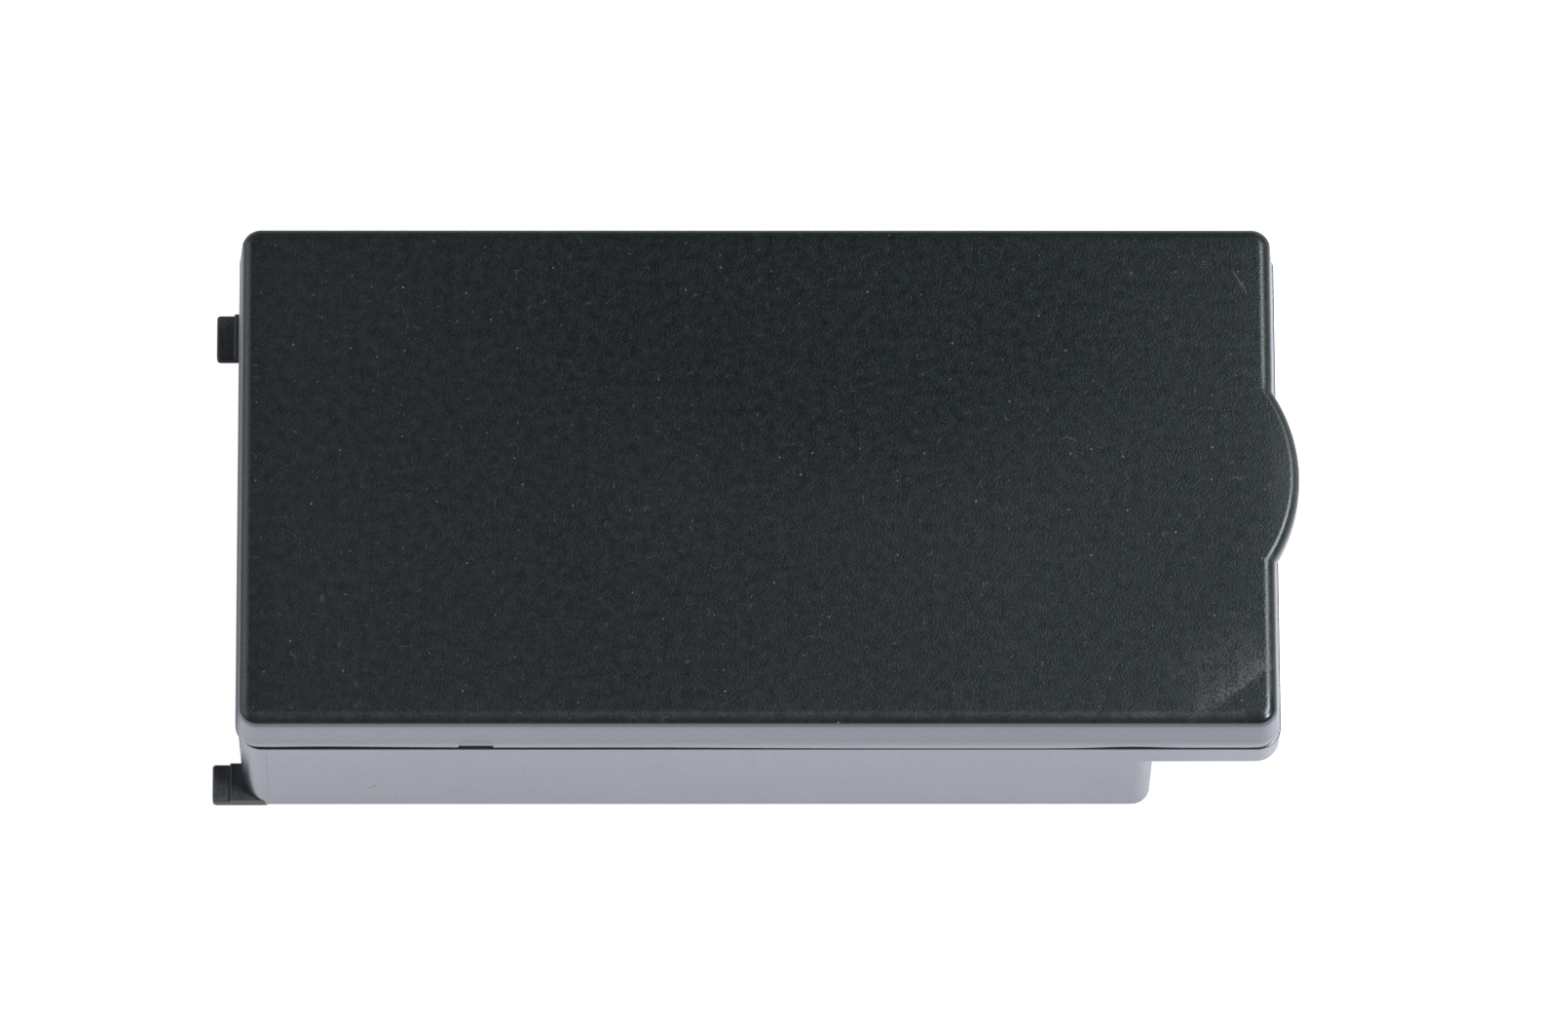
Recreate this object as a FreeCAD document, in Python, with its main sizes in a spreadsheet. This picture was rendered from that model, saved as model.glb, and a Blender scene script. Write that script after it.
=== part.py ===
import FreeCAD, Part
import os
import re
import Sketcher

# A clip-on battery pack lying on its deep side: two hooks at -X, the finger lip at +X, the flat
# cover on top at +Z. The origin is the middle of its footprint, on the table. Millimetres.
# The case is worked out from the cells outwards, so a different cell gives a different pack.
SIZES = {
    # one flat lithium cell: a drawn can with its insulated rivet in one end
    "cell_width": 30.0,
    "cell_length": 48.0,
    "cell_thickness": 9.9,
    "cell_round": 2.4,
    "cell_gap": 0.4,
    "rivet_diameter": 4.0,
    "rivet_height": 0.6,
    # the nickel strip welded from cell to cell, and the two leads to the board
    "strip_width": 4.0,
    "strip_thickness": 0.2,
    "strip_end": 2.5,
    "strip_jog": 0.8,
    "weld_reach": 6.0,
    "lead_height": 3.2,
    "lead_inset": 1.0,
    "lead_foot": 3.5,
    "lead_gap": 1.6,
    "pad_lap": 2.4,
    # sheets that insulate and bed the cells
    "tape_thickness": 0.2,
    "sheet_thickness": 0.3,
    "foam_thickness": 0.6,
    "paper_thickness": 0.3,
    "sheet_margin": 0.8,
    # room between the row of cells and the walls
    "side_room": 1.225,
    "end_room": 2.9,
    # the moulded case and its cover
    "wall": 1.6,
    "end_wall": 2.0,
    "case_floor": 1.7,
    "cover_roof": 1.6,
    "cover_depth": 6.2,
    "cover_overhang": 0.25,
    "skirt_taper": 0.45,
    "seam_gap": 0.35,
    "rim_depth": 3.8,
    "step_length": 13.3,
    "case_taper": 0.15,
    "corner_radius": 2.6,
    "step_corner": 2.0,
    "cover_corner": 2.2,
    "top_round": 1.4,
    "edge_round": 0.4,
    "rim_round": 0.2,
    "tongue_thickness": 0.8,
    "tongue_height": 1.5,
    "tongue_clearance": 0.1,
    # the finger lip, an arc that stands out from the cover's end
    "lip_width": 19.0,
    "lip_reach": 2.6,
    "lip_thickness": 2.8,
    # the two hooks at the foot of the other end
    "tab_reach": 3.05,
    "front_tab_width": 4.2,
    "rear_tab_width": 5.05,
    "rear_tab_inset": 1.2,
    "tab_thickness": 1.5,
    "tab_step": 0.25,
    "tab_tip": 1.85,
    "tab_round": 0.2,
    # the pry notch in the front edge of the skirt
    "notch_place": 25.05,
    "notch_width": 3.6,
    "notch_height": 0.5,
    # the ribs that hold the row of cells, and those that hold the board
    "rib_thickness": 1.2,
    "rib_clearance": 0.1,
    "rib_spread": 12.0,
    "clamp_thickness": 1.0,
    "clamp_width": 3.0,
    "clamp_spread": 10.6,
    # the protection board in the shallow end, on two posts
    "board_room": 1.1,
    "board_end_room": 3.4,
    "board_thickness": 1.0,
    "post_diameter": 1.8,
    "post_clearance": 0.1,
    "post_rise": 0.5,
    "post_inset": 2.4,
    # the contacts, each behind a window in the underside of the step
    "window_width": 3.0,
    "window_length": 6.0,
    "window_round": 0.5,
    "contact_pitch": 5.0,
    "contact_lap": 0.5,
    "contact_thickness": 0.8,
    # what is soldered on the board
    "chip_length": 6.4,
    "chip_width": 5.0,
    "chip_height": 1.2,
    "chip_bevel": 0.25,
    "switch_length": 4.9,
    "switch_width": 3.9,
    "switch_height": 1.1,
    "switch_spread": 6.6,
    "resistor_length": 6.3,
    "resistor_width": 3.2,
    "resistor_height": 0.7,
    "fuse_length": 6.0,
    "fuse_width": 2.6,
    "fuse_height": 1.9,
    "thermistor_length": 2.0,
    "thermistor_width": 1.2,
    "thermistor_height": 0.9,
    "part_space": 1.4,
}
CONTACTS = 4

# What follows from the sizes above, in the order in which it is worked out.
DERIVED = {
    "cell_pitch": "cell_width + cell_gap",
    "row_length": "3 * cell_width + 2 * cell_gap",
    "deep_length": "row_length + 2 * side_room + 2 * wall",
    "case_length": "deep_length + step_length",
    "half_inside": "cell_length / 2 + end_room",
    "half_case": "half_inside + wall",
    "overall_length": "tab_reach + case_length - skirt_taper + lip_reach",
    "case_left": "tab_reach - overall_length / 2",
    "case_right": "case_left + case_length",
    "deep_right": "case_left + deep_length",
    "inside_left": "case_left + wall",
    "inside_right": "case_right - end_wall",
    "shelf_left": "deep_right - wall",
    "row_left": "inside_left + side_room",
    "row_right": "row_left + row_length",
    "row_middle": "row_left + row_length / 2",
    "lower_cells": "case_floor + tape_thickness",
    "upper_cells": "lower_cells + cell_thickness + sheet_thickness",
    "cells_top": "upper_cells + cell_thickness",
    "roof_under": "cells_top + foam_thickness",
    "body_height": "roof_under + cover_roof",
    "skirt_edge": "body_height - cover_depth",
    "rim_top": "skirt_edge - seam_gap",
    "tongue_top": "skirt_edge + tongue_height",
    "shelf_under": "rim_top - rim_depth",
    "shelf_top": "shelf_under + case_floor",
    "board_under": "shelf_top + contact_thickness",
    "board_top": "board_under + board_thickness",
    "board_left": "shelf_left + board_room",
    "board_right": "inside_right - board_room",
    "board_middle": "(board_left + board_right) / 2",
    "half_board": "half_inside - board_end_room",
    "post_place": "half_board - pad_lap - post_diameter",
    "window_middle": "(deep_right + inside_right) / 2",
    "half_cell": "cell_length / 2",
    "strip_outside": "half_cell + rivet_height + strip_thickness",
    "paper_outside": "strip_outside + paper_thickness",
    "lip_wall": "case_right - skirt_taper",
    "lip_radius": "(lip_width ^ 2 / 4 + lip_reach ^ 2) / (2 * lip_reach)",
    "tab_front": "half_case - case_taper",
    "rebate_depth": "tongue_thickness + tongue_clearance",
}

doc = FreeCAD.newDocument("battery_pack")
sheet = doc.addObject("Spreadsheet::Sheet", "Sizes")
row = 0
for alias, value in [*SIZES.items(), *DERIVED.items()]:
    row += 1
    sheet.set(f"A{row}", alias)
    sheet.set(f"B{row}", f"={value}" if alias in DERIVED else str(value))
    sheet.setAlias(f"B{row}", alias)
doc.recompute()

WORD = re.compile(r"[a-z_]+")
ALIASES = {*SIZES, *DERIVED}
CENTRE = FreeCAD.Vector(0, 0, 0)
nodes = []


def bind(thing, setting, formula):
    """Let the sheet drive one setting; the formula is written in the sheet's own names."""
    text = WORD.sub(lambda word: f"Sizes.{word[0]}" if word[0] in ALIASES else word[0], formula)
    thing.setExpression(setting, text)


def new_body(name):
    """Start one physical piece."""
    body = doc.addObject("PartDesign::Body", name)
    body.Label = name
    nodes.append(body)
    return body


def new_sketch(body, plane, height="0"):
    """Open a sketch on one of the body's own planes, raised along that plane's normal."""
    sketch = body.newObject("Sketcher::SketchObject", f"{body.Name}_sketch")
    support = next(item for item in body.Origin.OriginFeatures if item.Role == f"{plane}_Plane")
    sketch.AttachmentSupport = [(support, "")]
    sketch.MapMode = "FlatFace"
    bind(sketch, "AttachmentOffset.Base.z", height)
    return sketch


def dimension(sketch, kind, geometry, point, formula, value=1.0):
    """Place one point of the sketch from the origin by a formula."""
    index = sketch.addConstraint(Sketcher.Constraint(kind, -1, 1, geometry, point, value))
    bind(sketch, f"Constraints[{index}]", formula)


def outline(sketch, points):
    """Close a run of straight lines through corner points given as formulas."""
    first = sketch.GeometryCount
    count = len(points)
    start = [FreeCAD.Vector(number, number * number, 0) for number in range(count)]
    for number in range(count):
        sketch.addGeometry(Part.LineSegment(start[number], start[(number + 1) % count]), False)
    for number in range(count):
        after = first + (number + 1) % count
        sketch.addConstraint(Sketcher.Constraint("Coincident", first + number, 2, after, 1))
    for number, (across, along) in enumerate(points):
        dimension(sketch, "DistanceX", first + number, 1, across)
        dimension(sketch, "DistanceY", first + number, 1, along)


def rectangle(sketch, left, right, low, high):
    """Draw an upright rectangle by its four sides."""
    first = sketch.GeometryCount
    corners = [(0, 0), (9, 0), (9, 6), (0, 6)]
    for number in range(4):
        begin = FreeCAD.Vector(*corners[number], 0)
        end = FreeCAD.Vector(*corners[(number + 1) % 4], 0)
        sketch.addGeometry(Part.LineSegment(begin, end), False)
    for number in range(4):
        after = first + (number + 1) % 4
        sketch.addConstraint(Sketcher.Constraint("Coincident", first + number, 2, after, 1))
        direction = "Vertical" if number % 2 else "Horizontal"
        sketch.addConstraint(Sketcher.Constraint(direction, first + number))
    dimension(sketch, "DistanceX", first, 1, left)
    dimension(sketch, "DistanceX", first, 2, right)
    dimension(sketch, "DistanceY", first, 1, low)
    dimension(sketch, "DistanceY", first + 2, 1, high)


def circle(sketch, across, along, diameter):
    """Draw a circle by its centre and diameter."""
    index = sketch.addGeometry(Part.Circle(CENTRE, FreeCAD.Vector(0, 0, 1), 1.0), False)
    dimension(sketch, "DistanceX", index, 3, across)
    dimension(sketch, "DistanceY", index, 3, along)
    size = sketch.addConstraint(Sketcher.Constraint("Diameter", index, 2.0))
    bind(sketch, f"Constraints[{size}]", diameter)


def grow(body, kind, sketch, length, backwards=False, middle=False, lean=None):
    """Pad or pocket a sketch, with a draft angle where the mould needs one."""
    feature = body.newObject(f"PartDesign::{kind}", f"{body.Name}_{kind.lower()}")
    feature.Profile = sketch
    feature.Refine = True
    feature.Reversed = backwards
    if middle:
        feature.SideType = "Symmetric"
    bind(feature, "Length", length)
    if lean:
        bind(feature, "TaperAngle", lean)
    doc.recompute()
    return feature


def edges(feature, chosen):
    """Name the edges of a feature that pass a test."""
    return [f"Edge{number}" for number, edge in enumerate(feature.Shape.Edges, 1) if chosen(edge)]


def soften(body, chosen, radius, kind="Fillet"):
    """Round or bevel the chosen edges of the body as it stands."""
    base = body.Tip
    feature = body.newObject(f"PartDesign::{kind}", f"{body.Name}_{kind.lower()}")
    feature.Base = (base, edges(base, chosen))
    feature.Refine = True
    bind(feature, "Radius" if kind == "Fillet" else "Size", radius)
    doc.recompute()
    return feature


def is_upright(edge):
    """True for an edge that stands up, drafted or not."""
    ends = [vertex.Point for vertex in edge.Vertexes]
    if len(ends) < 2:
        return False
    run = ends[1] - ends[0]
    return abs(run.z) > 4 * (abs(run.x) + abs(run.y))


def is_level(edge, height):
    """True for an edge that lies flat at one height."""
    box = edge.BoundBox
    return abs(box.ZMin - height) < 1e-4 and abs(box.ZMax - height) < 1e-4


def within(edge, left, right, half):
    """True for an edge whose middle lies inside a plan rectangle about the long axis."""
    middle = edge.BoundBox.Center
    return left < middle.x < right and abs(middle.y) < half


# The lower case: a deep box for the cells and a shallow end for the board, one moulding. A tongue
# for the cover stands on its rim; the box is leaned in towards the foot and the step cut away.
case = new_body("lower_case")
tongue = new_sketch(case, "XY", "rim_top")
rectangle(
    tongue,
    "inside_left - tongue_thickness",
    "inside_right + tongue_thickness",
    "-half_inside - tongue_thickness",
    "half_inside + tongue_thickness",
)
grow(case, "Pad", tongue, "tongue_top - rim_top")
soften(case, is_upright, "corner_radius - wall + tongue_thickness")
block = new_sketch(case, "XY", "rim_top")
rectangle(block, "case_left", "case_right", "-half_case", "half_case")
grow(case, "Pad", block, "rim_top", backwards=True, lean="-atan(case_taper / rim_top)")
step = new_sketch(case, "XZ", "half_case")
rectangle(step, "deep_right", "case_right", "0", "shelf_under")
grow(case, "Pocket", step, "2 * half_case")
soften(case, lambda edge: is_upright(edge) and edge.BoundBox.ZMax < sheet.shelf_top, "step_corner")
soften(
    case,
    lambda edge: is_upright(edge)
    and edge.BoundBox.ZMin < sheet.shelf_top
    and edge.BoundBox.ZMax > sheet.shelf_top
    and abs(edge.BoundBox.Center.y) > sheet.half_inside,
    "corner_radius",
)
soften(case, lambda edge: is_level(edge, 0), "edge_round")
ledge = (sheet.wall + sheet.tongue_thickness) / 2
soften(
    case,
    lambda edge: is_level(edge, sheet.rim_top)
    and not within(edge, sheet.inside_left - ledge, sheet.inside_right + ledge, sheet.half_inside + ledge),
    "rim_round",
)

# The hollow for the cells, and above the step the shallower one for the board.
hollow = new_sketch(case, "XY", "tongue_top")
rectangle(hollow, "inside_left", "shelf_left", "-half_inside", "half_inside")
grow(case, "Pocket", hollow, "tongue_top - case_floor")
bay = new_sketch(case, "XY", "tongue_top")
rectangle(bay, "row_middle", "inside_right", "-half_inside", "half_inside")
grow(case, "Pocket", bay, "tongue_top - shelf_top")
soften(
    case,
    lambda edge: is_upright(edge)
    and abs(abs(edge.BoundBox.Center.y) - sheet.half_inside) < 1e-4
    and edge.BoundBox.ZMax > sheet.shelf_top - 1e-4,
    "corner_radius - wall",
)

# The hooks: stepped flat tongues at the foot of the end wall, the front one flush with its long side
# and the rear one set in from its own.
HOOKS = [("tab_front", "front_tab_width", True), ("rear_tab_inset - tab_front", "rear_tab_width", False)]
for face, width, inward in HOOKS:
    hook = new_sketch(case, "XZ", face)
    tip = "case_left - tab_reach"
    outline(
        hook,
        [
            (tip, "0"),
            ("case_left + corner_radius + case_taper", "0"),
            ("case_left + corner_radius + case_taper", "tab_thickness"),
            (f"{tip} + tab_tip", "tab_thickness"),
            (f"{tip} + tab_tip", "tab_thickness - tab_step"),
            (tip, "tab_thickness - tab_step"),
        ],
    )
    grow(case, "Pad", hook, width, backwards=inward)
tip_x = sheet.case_left - sheet.tab_reach
hook_edges = [
    (tip_x, sheet.tab_thickness - sheet.tab_step),
    (tip_x + sheet.tab_tip, sheet.tab_thickness),
]
soften(
    case,
    lambda edge: edge.BoundBox.YLength > sheet.tab_thickness
    and any(is_level(edge, top) and abs(edge.BoundBox.Center.x - end) < 1e-4 for end, top in hook_edges),
    "tab_round",
)
soften(case, lambda edge: is_upright(edge) and abs(edge.BoundBox.Center.x - tip_x) < 1e-4, "edge_round")

# Ribs that hold the row of cells: two on each end wall and three on each long wall.
end_ribs = new_sketch(case, "XY", "case_floor")
for place in ("-rib_spread", "rib_spread"):
    low = f"{place} - rib_thickness / 2"
    high = f"{place} + rib_thickness / 2"
    rectangle(end_ribs, "inside_left - wall / 2", "row_left - rib_clearance", low, high)
    rectangle(end_ribs, "row_right + rib_clearance", "shelf_left + wall / 2", low, high)
grow(case, "Pad", end_ribs, "shelf_top - case_floor")
side_ribs = new_sketch(case, "XY", "case_floor")
for place in ("row_middle - cell_pitch", "row_middle", "row_middle + cell_pitch"):
    left = f"{place} - rib_thickness / 2"
    right = f"{place} + rib_thickness / 2"
    rectangle(side_ribs, left, right, "-half_inside - wall / 2", "-paper_outside - rib_clearance")
    rectangle(side_ribs, left, right, "paper_outside + rib_clearance", "half_inside + wall / 2")
grow(case, "Pad", side_ribs, "shelf_top - case_floor")

# The shallow end: two posts for the board, and a row of contact windows through its floor.
posts = new_sketch(case, "XY", "shelf_top")
for side in ("-", ""):
    circle(posts, "board_right - post_inset", f"{side}post_place", "post_diameter")
grow(case, "Pad", posts, "contact_thickness + board_thickness + post_rise")
window = new_sketch(case, "XY", "shelf_top")
first_window = f"-contact_pitch * {(CONTACTS - 1) / 2}"
rectangle(
    window,
    "window_middle - window_length / 2",
    "window_middle + window_length / 2",
    f"{first_window} - window_width / 2",
    f"{first_window} + window_width / 2",
)
window_cut = grow(case, "Pocket", window, "case_floor")
windows = case.newObject("PartDesign::LinearPattern", "lower_case_windows")
windows.Originals = [window_cut]
windows.Direction = (window, ["V_Axis"])
windows.Occurrences = CONTACTS
windows.Refine = True
bind(windows, "Length", f"contact_pitch * {CONTACTS - 1}")
case.Tip = windows
doc.recompute()
soften(
    case,
    lambda edge: is_upright(edge)
    and within(edge, sheet.deep_right, sheet.inside_right, sheet.contact_pitch * CONTACTS / 2)
    and edge.BoundBox.ZMin > sheet.shelf_under - 1e-4
    and edge.BoundBox.ZMax < sheet.shelf_top + 1e-4,
    "window_round",
)

# The cover: a shallow drafted tray turned over, with the finger lip standing out from its end.
cover = new_body("top_cover")
lid = new_sketch(cover, "XY", "skirt_edge")
cover_left = "case_left - cover_overhang"
rectangle(lid, cover_left, "case_right", "-half_case", "half_case")
grow(cover, "Pad", lid, "cover_depth", lean="-atan(skirt_taper / cover_depth)")
soften(cover, is_upright, "cover_corner")
lip = new_sketch(cover, "XY", "body_height")
root, edge_x, half_lip = sheet.inside_right, sheet.lip_wall, sheet.lip_width / 2
lip_corners = [
    ("inside_right", "-lip_width / 2", FreeCAD.Vector(root, -half_lip, 0)),
    ("lip_wall", "-lip_width / 2", FreeCAD.Vector(edge_x, -half_lip, 0)),
    ("lip_wall", "lip_width / 2", FreeCAD.Vector(edge_x, half_lip, 0)),
    ("inside_right", "lip_width / 2", FreeCAD.Vector(root, half_lip, 0)),
]
places = [place for across, along, place in lip_corners]
apex = FreeCAD.Vector(edge_x + sheet.lip_reach, 0, 0)
lip.addGeometry(Part.LineSegment(places[0], places[1]), False)
lip.addGeometry(Part.Arc(places[1], apex, places[2]), False)
lip.addGeometry(Part.LineSegment(places[2], places[3]), False)
lip.addGeometry(Part.LineSegment(places[3], places[0]), False)
for number in range(4):
    lip.addConstraint(Sketcher.Constraint("Coincident", number, 2, (number + 1) % 4, 1))
for (geometry, point), (across, along, place) in zip(((0, 1), (0, 2), (2, 1), (2, 2)), lip_corners):
    dimension(lip, "DistanceX", geometry, point, across, place.x)
    dimension(lip, "DistanceY", geometry, point, along, place.y)
arc = lip.addConstraint(Sketcher.Constraint("Radius", 1, sheet.lip_radius))
bind(lip, f"Constraints[{arc}]", "lip_radius")
grow(cover, "Pad", lip, "lip_thickness", backwards=True)
soften(cover, lambda edge: is_level(edge, sheet.body_height), "top_round")

# Its hollow, and the rebate that takes the case's tongue with a little clearance all round.
tray = new_sketch(cover, "XY", "skirt_edge")
rectangle(tray, "inside_left", "inside_right", "-half_inside", "half_inside")
grow(cover, "Pocket", tray, "cover_depth - cover_roof", backwards=True)
rebate = new_sketch(cover, "XY", "skirt_edge")
rectangle(
    rebate,
    "inside_left - rebate_depth",
    "inside_right + rebate_depth",
    "-half_inside - rebate_depth",
    "half_inside + rebate_depth",
)
grow(cover, "Pocket", rebate, "tongue_height", backwards=True)
soften(
    cover,
    lambda edge: is_upright(edge)
    and abs(abs(edge.BoundBox.Center.y) - sheet.half_inside - sheet.rebate_depth) < 1e-4,
    "corner_radius - wall + rebate_depth",
)
soften(
    cover,
    lambda edge: is_upright(edge) and abs(abs(edge.BoundBox.Center.y) - sheet.half_inside) < 1e-4,
    "corner_radius - wall",
)

# Two fingers under the roof that keep the board down on its contacts.
clamps = new_sketch(cover, "XY", "roof_under")
for place in ("-clamp_spread", "clamp_spread"):
    low = f"{place} - clamp_width / 2"
    high = f"{place} + clamp_width / 2"
    rectangle(clamps, "board_right - clamp_thickness", "board_right", low, high)
grow(cover, "Pad", clamps, "roof_under - board_top", backwards=True)

# The pry notch in the front edge of the skirt.
notch = new_sketch(cover, "XZ", "half_case")
middle = "case_left + notch_place"
left = f"{middle} - notch_width / 2"
right = f"{middle} + notch_width / 2"
rectangle(notch, left, right, "skirt_edge", "skirt_edge + notch_height")
grow(cover, "Pocket", notch, "wall - rebate_depth")

# Six cells in two layers of three. The chain starts at the lower cell beside the board, goes out
# along the lower layer and comes back along the upper one, so each cell faces against the last.
CHAIN = [
    ("cell_1", 2, "lower_cells", True),
    ("cell_2", 1, "lower_cells", False),
    ("cell_3", 0, "lower_cells", True),
    ("cell_4", 0, "upper_cells", False),
    ("cell_5", 1, "upper_cells", True),
    ("cell_6", 2, "upper_cells", False),
]
TURN = FreeCAD.Rotation(FreeCAD.Vector(0, 0, 1), 180)
for name, column, layer, faces_front in CHAIN:
    cell = new_body(name)
    can = new_sketch(cell, "XZ")
    rectangle(can, "-cell_width / 2", "cell_width / 2", "0", "cell_thickness")
    grow(cell, "Pad", can, "cell_length", middle=True)
    soften(cell, lambda edge: edge.BoundBox.YLength > sheet.half_cell, "cell_round")
    rivet = new_sketch(cell, "XZ", "-half_cell")
    circle(rivet, "0", "cell_thickness / 2", "rivet_diameter")
    grow(cell, "Pad", rivet, "rivet_height", backwards=True)
    if faces_front:
        cell.Placement.Rotation = TURN
    bind(cell, "Placement.Base.x", f"row_left + cell_width / 2 + {column} * cell_pitch")
    bind(cell, "Placement.Base.z", layer)

# Five nickel strips. Each lies flat on the bottom of one can, steps out and lies on the next
# cell's rivet. It is drawn about the joint of its two cells and turned to the end it belongs to.
ABOUT_X = FreeCAD.Rotation(FreeCAD.Vector(1, 0, 0), 180)
ABOUT_Y = FreeCAD.Rotation(FreeCAD.Vector(0, 1, 0), 180)
UPRIGHT = FreeCAD.Rotation(FreeCAD.Vector(0, 1, 0), -90)
LOWER_MIDDLE = "lower_cells + cell_thickness / 2"
UPPER_MIDDLE = "upper_cells + cell_thickness / 2"
LEFT_JOINT = "row_middle - cell_pitch / 2"
RIGHT_JOINT = "row_middle + cell_pitch / 2"
STRIPS = [
    ("strip_1", "cell_pitch / 2", ABOUT_Y, RIGHT_JOINT, "half_cell", LOWER_MIDDLE),
    ("strip_2", "cell_pitch / 2", TURN, LEFT_JOINT, "-half_cell", LOWER_MIDDLE),
    (
        "strip_3",
        "(cell_thickness + sheet_thickness) / 2",
        UPRIGHT,
        "row_left + cell_width / 2",
        "half_cell",
        "upper_cells - sheet_thickness / 2",
    ),
    ("strip_4", "cell_pitch / 2", ABOUT_X, LEFT_JOINT, "-half_cell", UPPER_MIDDLE),
    ("strip_5", "cell_pitch / 2", FreeCAD.Rotation(), RIGHT_JOINT, "half_cell", UPPER_MIDDLE),
]
for name, to_rivet, turn, across, along, height in STRIPS:
    strip = new_body(name)
    path = new_sketch(strip, "XY")
    outline(
        path,
        [
            ("-weld_reach", "0"),
            ("-strip_jog", "0"),
            ("strip_jog", "rivet_height"),
            (f"{to_rivet} + strip_end", "rivet_height"),
            (f"{to_rivet} + strip_end", "rivet_height + strip_thickness"),
            ("strip_jog", "rivet_height + strip_thickness"),
            ("-strip_jog", "strip_thickness"),
            ("-weld_reach", "strip_thickness"),
        ],
    )
    grow(strip, "Pad", path, "strip_width", middle=True)
    strip.Placement.Rotation = turn
    bind(strip, "Placement.Base.x", across)
    bind(strip, "Placement.Base.y", along)
    bind(strip, "Placement.Base.z", height)

# The two leads, each a flat strip along the cells' front ends with a foot folded onto the board.
LAST_COLUMN = "row_right - cell_width / 2"
lead_top = "board_top + lead_height"
plus = new_body("positive_lead")
plus_end = "board_left + lead_foot"
plus_plate = new_sketch(plus, "XZ", "half_cell")
rectangle(plus_plate, f"{LAST_COLUMN} - weld_reach", plus_end, "board_top", lead_top)
grow(plus, "Pad", plus_plate, "strip_thickness")
plus_foot = new_sketch(plus, "XY", "board_top")
rectangle(plus_foot, "board_left", plus_end, "-half_cell - strip_thickness", "-half_board + pad_lap")
grow(plus, "Pad", plus_foot, "strip_thickness")

minus = new_body("negative_lead")
minus_end = "board_left + 2 * lead_foot + lead_gap"
riser_left = "row_right - lead_inset - strip_width"
riser_right = "row_right - lead_inset"
minus_plate = new_sketch(minus, "XZ", "half_cell + rivet_height")
outline(
    minus_plate,
    [
        (f"{LAST_COLUMN} - strip_end", f"{LOWER_MIDDLE} - strip_width / 2"),
        (riser_right, f"{LOWER_MIDDLE} - strip_width / 2"),
        (riser_right, "board_top"),
        (minus_end, "board_top"),
        (minus_end, lead_top),
        (riser_left, lead_top),
        (riser_left, f"{LOWER_MIDDLE} + strip_width / 2"),
        (f"{LAST_COLUMN} - strip_end", f"{LOWER_MIDDLE} + strip_width / 2"),
    ],
)
grow(minus, "Pad", minus_plate, "strip_thickness")
minus_foot = new_sketch(minus, "XY", "board_top")
rectangle(minus_foot, f"{minus_end} - lead_foot", minus_end, "-strip_outside", "-half_board + pad_lap")
grow(minus, "Pad", minus_foot, "strip_thickness")

# Sheets: the tape the cells stick to, the sheet between the layers, and the foam under the cover.
SHEETS = [
    ("bedding_tape", "case_floor", "tape_thickness", "sheet_margin"),
    ("layer_sheet", "lower_cells + cell_thickness", "sheet_thickness", "0"),
    ("foam_pad", "cells_top", "foam_thickness", "sheet_margin"),
]
for name, height, thickness, margin in SHEETS:
    layer = new_body(name)
    plan = new_sketch(layer, "XY", height)
    far = f"half_cell - {margin}"
    rectangle(plan, f"row_left + {margin}", f"row_right - {margin}", f"-half_cell + {margin}", far)
    grow(layer, "Pad", plan, thickness)

# Two insulating papers over the welded ends of the cells.
for name, face, outwards in (("front_paper", "strip_outside", True), ("rear_paper", "-strip_outside", False)):
    paper = new_body(name)
    front = new_sketch(paper, "XZ", face)
    rectangle(front, "row_left", "row_right", "lower_cells", "cells_top")
    grow(paper, "Pad", front, "paper_thickness", backwards=not outwards)

# The protection board on its two posts, and the contacts between it and the windows.
board = new_body("protection_board")
board_plan = new_sketch(board, "XY", "board_under")
rectangle(board_plan, "board_left", "board_right", "-half_board", "half_board")
for side in ("-", ""):
    hole = "post_diameter + 2 * post_clearance"
    circle(board_plan, "board_right - post_inset", f"{side}post_place", hole)
grow(board, "Pad", board_plan, "board_thickness")
for number in range(CONTACTS):
    contact = new_body(f"contact_{number + 1}")
    along = f"contact_pitch * {number - (CONTACTS - 1) / 2}"
    plate = new_sketch(contact, "XY", "shelf_top")
    rectangle(
        plate,
        "window_middle - window_length / 2 - contact_lap",
        "window_middle + window_length / 2 + contact_lap",
        f"{along} - window_width / 2 - contact_lap",
        f"{along} + window_width / 2 + contact_lap",
    )
    grow(contact, "Pad", plate, "contact_thickness")
    soften(contact, is_upright, "window_round")

# What is soldered on the board, in a row along it: each is a moulded block with bevelled top edges.
fuse_place = "-(chip_length + fuse_length) / 2 - resistor_length - 2 * part_space"
thermistor_place = "(chip_length + switch_length) / 2 + 2 * switch_spread + part_space"
MOUNTED = [
    ("control_chip", "chip", "0"),
    ("charge_switch", "switch", "(chip_length + switch_length) / 2 + part_space"),
    ("discharge_switch", "switch", "(chip_length + switch_length) / 2 + part_space + switch_spread"),
    ("sense_resistor", "resistor", "-(chip_length + resistor_length) / 2 - part_space"),
    ("chip_fuse", "fuse", fuse_place),
    ("thermistor", "thermistor", thermistor_place),
]
for name, size, along in MOUNTED:
    mounted = new_body(name)
    block = new_sketch(mounted, "XY", "board_top")
    rectangle(
        block,
        f"board_middle - {size}_width / 2",
        f"board_middle + {size}_width / 2",
        f"{along} - {size}_length / 2",
        f"{along} + {size}_length / 2",
    )
    grow(mounted, "Pad", block, f"{size}_height")
    top_edge = sheet.board_top + getattr(sheet, f"{size}_height")
    soften(mounted, lambda edge: is_level(edge, top_edge), "chip_bevel", "Chamfer")

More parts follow.
